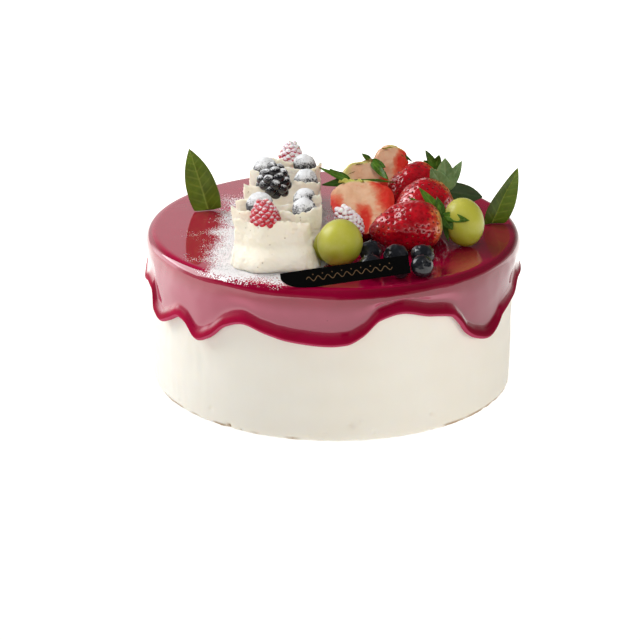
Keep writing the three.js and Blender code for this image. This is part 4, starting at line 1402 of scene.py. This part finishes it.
def build_sugar():
    """Loose grains on the glaze round the cream."""
    look = plain_look(
        "sugar_grains", (0.88, 0.88, 0.90), roughness=0.6, size=0.8, depth=0.02,
        Subsurface_Weight=0.2, Subsurface_Scale=0.001,
    )
    draw = np.random.default_rng(7)
    tries = draw.uniform(*SUGAR_FIELD, (SUGAR_TRIES, 2))
    keep = dust_at(tries[:, 0], tries[:, 1]) > draw.uniform(0.015, 1.0, len(tries)) ** 1.2
    keep &= np.hypot(tries[:, 0], tries[:, 1]) < SUGAR_REACH
    spots = tries[keep][:SUGAR_GRAINS]
    top = node_box("glaze")[1][2]
    sizes = draw.uniform(*GRAIN_SIZES, len(spots))
    places = np.column_stack([spots, top + 0.35 * sizes])
    frames = [basis(draw.normal(size=3), draw.normal(size=3)) for _ in spots]
    verts, faces = copies(pyramid(), places, frames, np.repeat(sizes[:, None], 3, 1))
    add_piece("sugar_grains", verts, faces, [look], "glaze")


# ---------- stage, light and camera ----------


def build_stage():
    """A white floor that glows more at the sides and behind, which the cake mirrors."""
    corners = [(-1, -1), (1, -1), (1, 1), (-1, 1)]
    verts = np.array([(x * FLOOR_REACH, y * FLOOR_REACH, FLOOR_LEVEL) for x, y in corners])
    look, tree, feed = new_look(
        "pale_floor", Roughness=0.9, Base_Color=(0.02, 0.02, 0.02), Emission_Strength=FLOOR_GLOW,
        Emission_Color=(1.0, 0.98, 0.94), Specular_IOR_Level=0.0,
    )
    parts = add(tree, "ShaderNodeSeparateXYZ", {0: place(tree)}).outputs
    sides = between(tree, parts["X"], -0.28, -0.15, 0.55, 0)
    sides = calc(tree, "SUBTRACT", sides, between(tree, parts["X"], 0.18, 0.25, 0, 0.3))
    behind = between(tree, parts["Y"], 0.11, 0.19, 0, 0.55)
    glow = plus(tree, calc(tree, "MAXIMUM", sides, behind), FLOOR_GLOW)
    feed("Emission Strength", glow)
    floor = make_mesh("floor", verts, [[0, 1, 2, 3]], [look])


def build_world():
    """White low down all round, dim overhead, and warmer to the right than to the left."""
    world = bpy.data.worlds.new("studio")
    bpy.context.scene.world = world
    world.use_nodes = True
    tree = world.node_tree
    way = add(tree, "ShaderNodeTexCoord").outputs["Generated"]
    parts = add(tree, "ShaderNodeSeparateXYZ", {0: way}).outputs
    tint = mix(tree, between(tree, parts["X"], -0.8, 0.8), (0.97, 0.985, 1.0), (1.0, 0.955, 0.88))
    lower = between(tree, parts["X"], 0.0, 0.06, 0, 0.25)
    wall = between(tree, plus(tree, parts["Z"], lower), 0.25, 0.55, WALL_GLOW, ROOF_GLOW)
    front = between(tree, parts["Y"], -0.5, 0.3, 0.3, 1.0)
    strength = times(tree, wall, front)
    leftward, backward = between(tree, parts["X"], -0.55, -0.75), between(tree, parts["Y"], 0.1, 0.4)
    window = times(tree, leftward, backward)
    window = times(tree, window, between(tree, parts["Z"], 0.5, 0.42, 0, WINDOW_GLOW))
    strength = plus(tree, strength, window)
    background = tree.nodes["Background"]
    tree.links.new(tint, background.inputs["Color"])
    tree.links.new(strength, background.inputs["Strength"])


def add_softbox(name, place_mm, size_mm, radiance, colour, mirrored, receivers):
    """A soft light turned to the toppings."""
    data = bpy.data.lights.new(name, "AREA")
    data.shape = "RECTANGLE"
    data.size, data.size_y = (s * MM for s in size_mm)
    data.energy = radiance * math.pi * data.size * data.size_y
    data.color = colour
    box = bpy.data.objects.new(name, data)
    box.location = Vector(place_mm) * MM
    box.rotation_euler = (Vector((0, 0, 80 * MM)) - box.location).to_track_quat("-Z", "Y").to_euler()
    box.visible_glossy = mirrored
    if receivers:
        box.light_linking.receiver_collection = receivers
    bpy.context.scene.collection.objects.link(box)


def build_camera():
    data = bpy.data.cameras.new("camera")
    data.lens = CAMERA_LENS
    data.sensor_width = CAMERA_SENSOR
    camera = bpy.data.objects.new("camera", data)
    bpy.context.scene.collection.objects.link(camera)
    rise = math.radians(CAMERA_ELEVATION)
    away = CAMERA_DISTANCE * MM
    place_m = Vector((0, -away * math.cos(rise), away * math.sin(rise) + CAMERA_PIVOT_HEIGHT * MM))
    look = (Vector(CAMERA_AIM) * MM - place_m).to_track_quat("-Z", "Y").to_matrix().to_4x4()
    roll = Matrix.Rotation(math.radians(CAMERA_ROLL), 4, "Z")
    camera.matrix_world = Matrix.Translation(place_m) @ look @ roll
    bpy.context.scene.camera = camera


COOL, NEUTRAL, WARM = (0.985, 0.99, 1.0), (1.0, 0.985, 0.95), (1.0, 0.95, 0.87)
# Name, place, size, radiance, tint, whether gloss mirrors it, and which group it lights, if not all
SOFTBOXES = [
    ("key", (-1010, 330, 860), (950, 800), 3.8, COOL, True, None),
    ("key_spread", (-960, 400, 980), (1200, 1200), 2.2, COOL, False, None),
    ("window", (1080, -680, 400), (650, 500), 0.12, WARM, True, None),
    ("fill", (1080, -680, 480), (650, 500), 2.0, WARM, False, None),
    ("fill_side", (1080, -680, 300), (650, 500), 3.1, WARM, False, "creamed"),
    ("overhead", (60, -420, 1180), (800, 800), 1.3, NEUTRAL, False, None),
    ("front", (-200, -1150, 520), (700, 500), 2.6, NEUTRAL, False, None),
    ("toppings", (420, -760, 1050), (600, 600), 4.4, NEUTRAL, False, "toppings"),
    ("side", (-1100, -300, 300), (700, 500), 4.3, COOL, False, "glazed"),
]


def build_light():
    """Soft lights all round, three of which light only the toppings, the glaze or the cake's side."""
    groups = {name: bpy.data.collections.new(name) for name in ("toppings", "glazed", "creamed")}
    special = {"glaze_shell": "glazed", "cake_side": "creamed"}
    for piece in bpy.data.objects:
        if piece.type == "MESH" and piece.name != "floor":
            groups[special.get(piece.name, "toppings")].objects.link(piece)
    for name, place_mm, size_mm, radiance, colour, mirrored, group in SOFTBOXES:
        add_softbox(name, place_mm, size_mm, radiance, colour, mirrored, groups.get(group))


# ---------- assembly ----------

scene = bpy.context.scene
scene.view_settings.view_transform = "Standard"
build_camera()
build_stage()
build_world()
build_cake()
build_cream()
build_blueberries()
build_grapes()
build_drupelet_berries()
build_strawberries()
build_greens()
build_plaque()
build_sugar()
build_light()
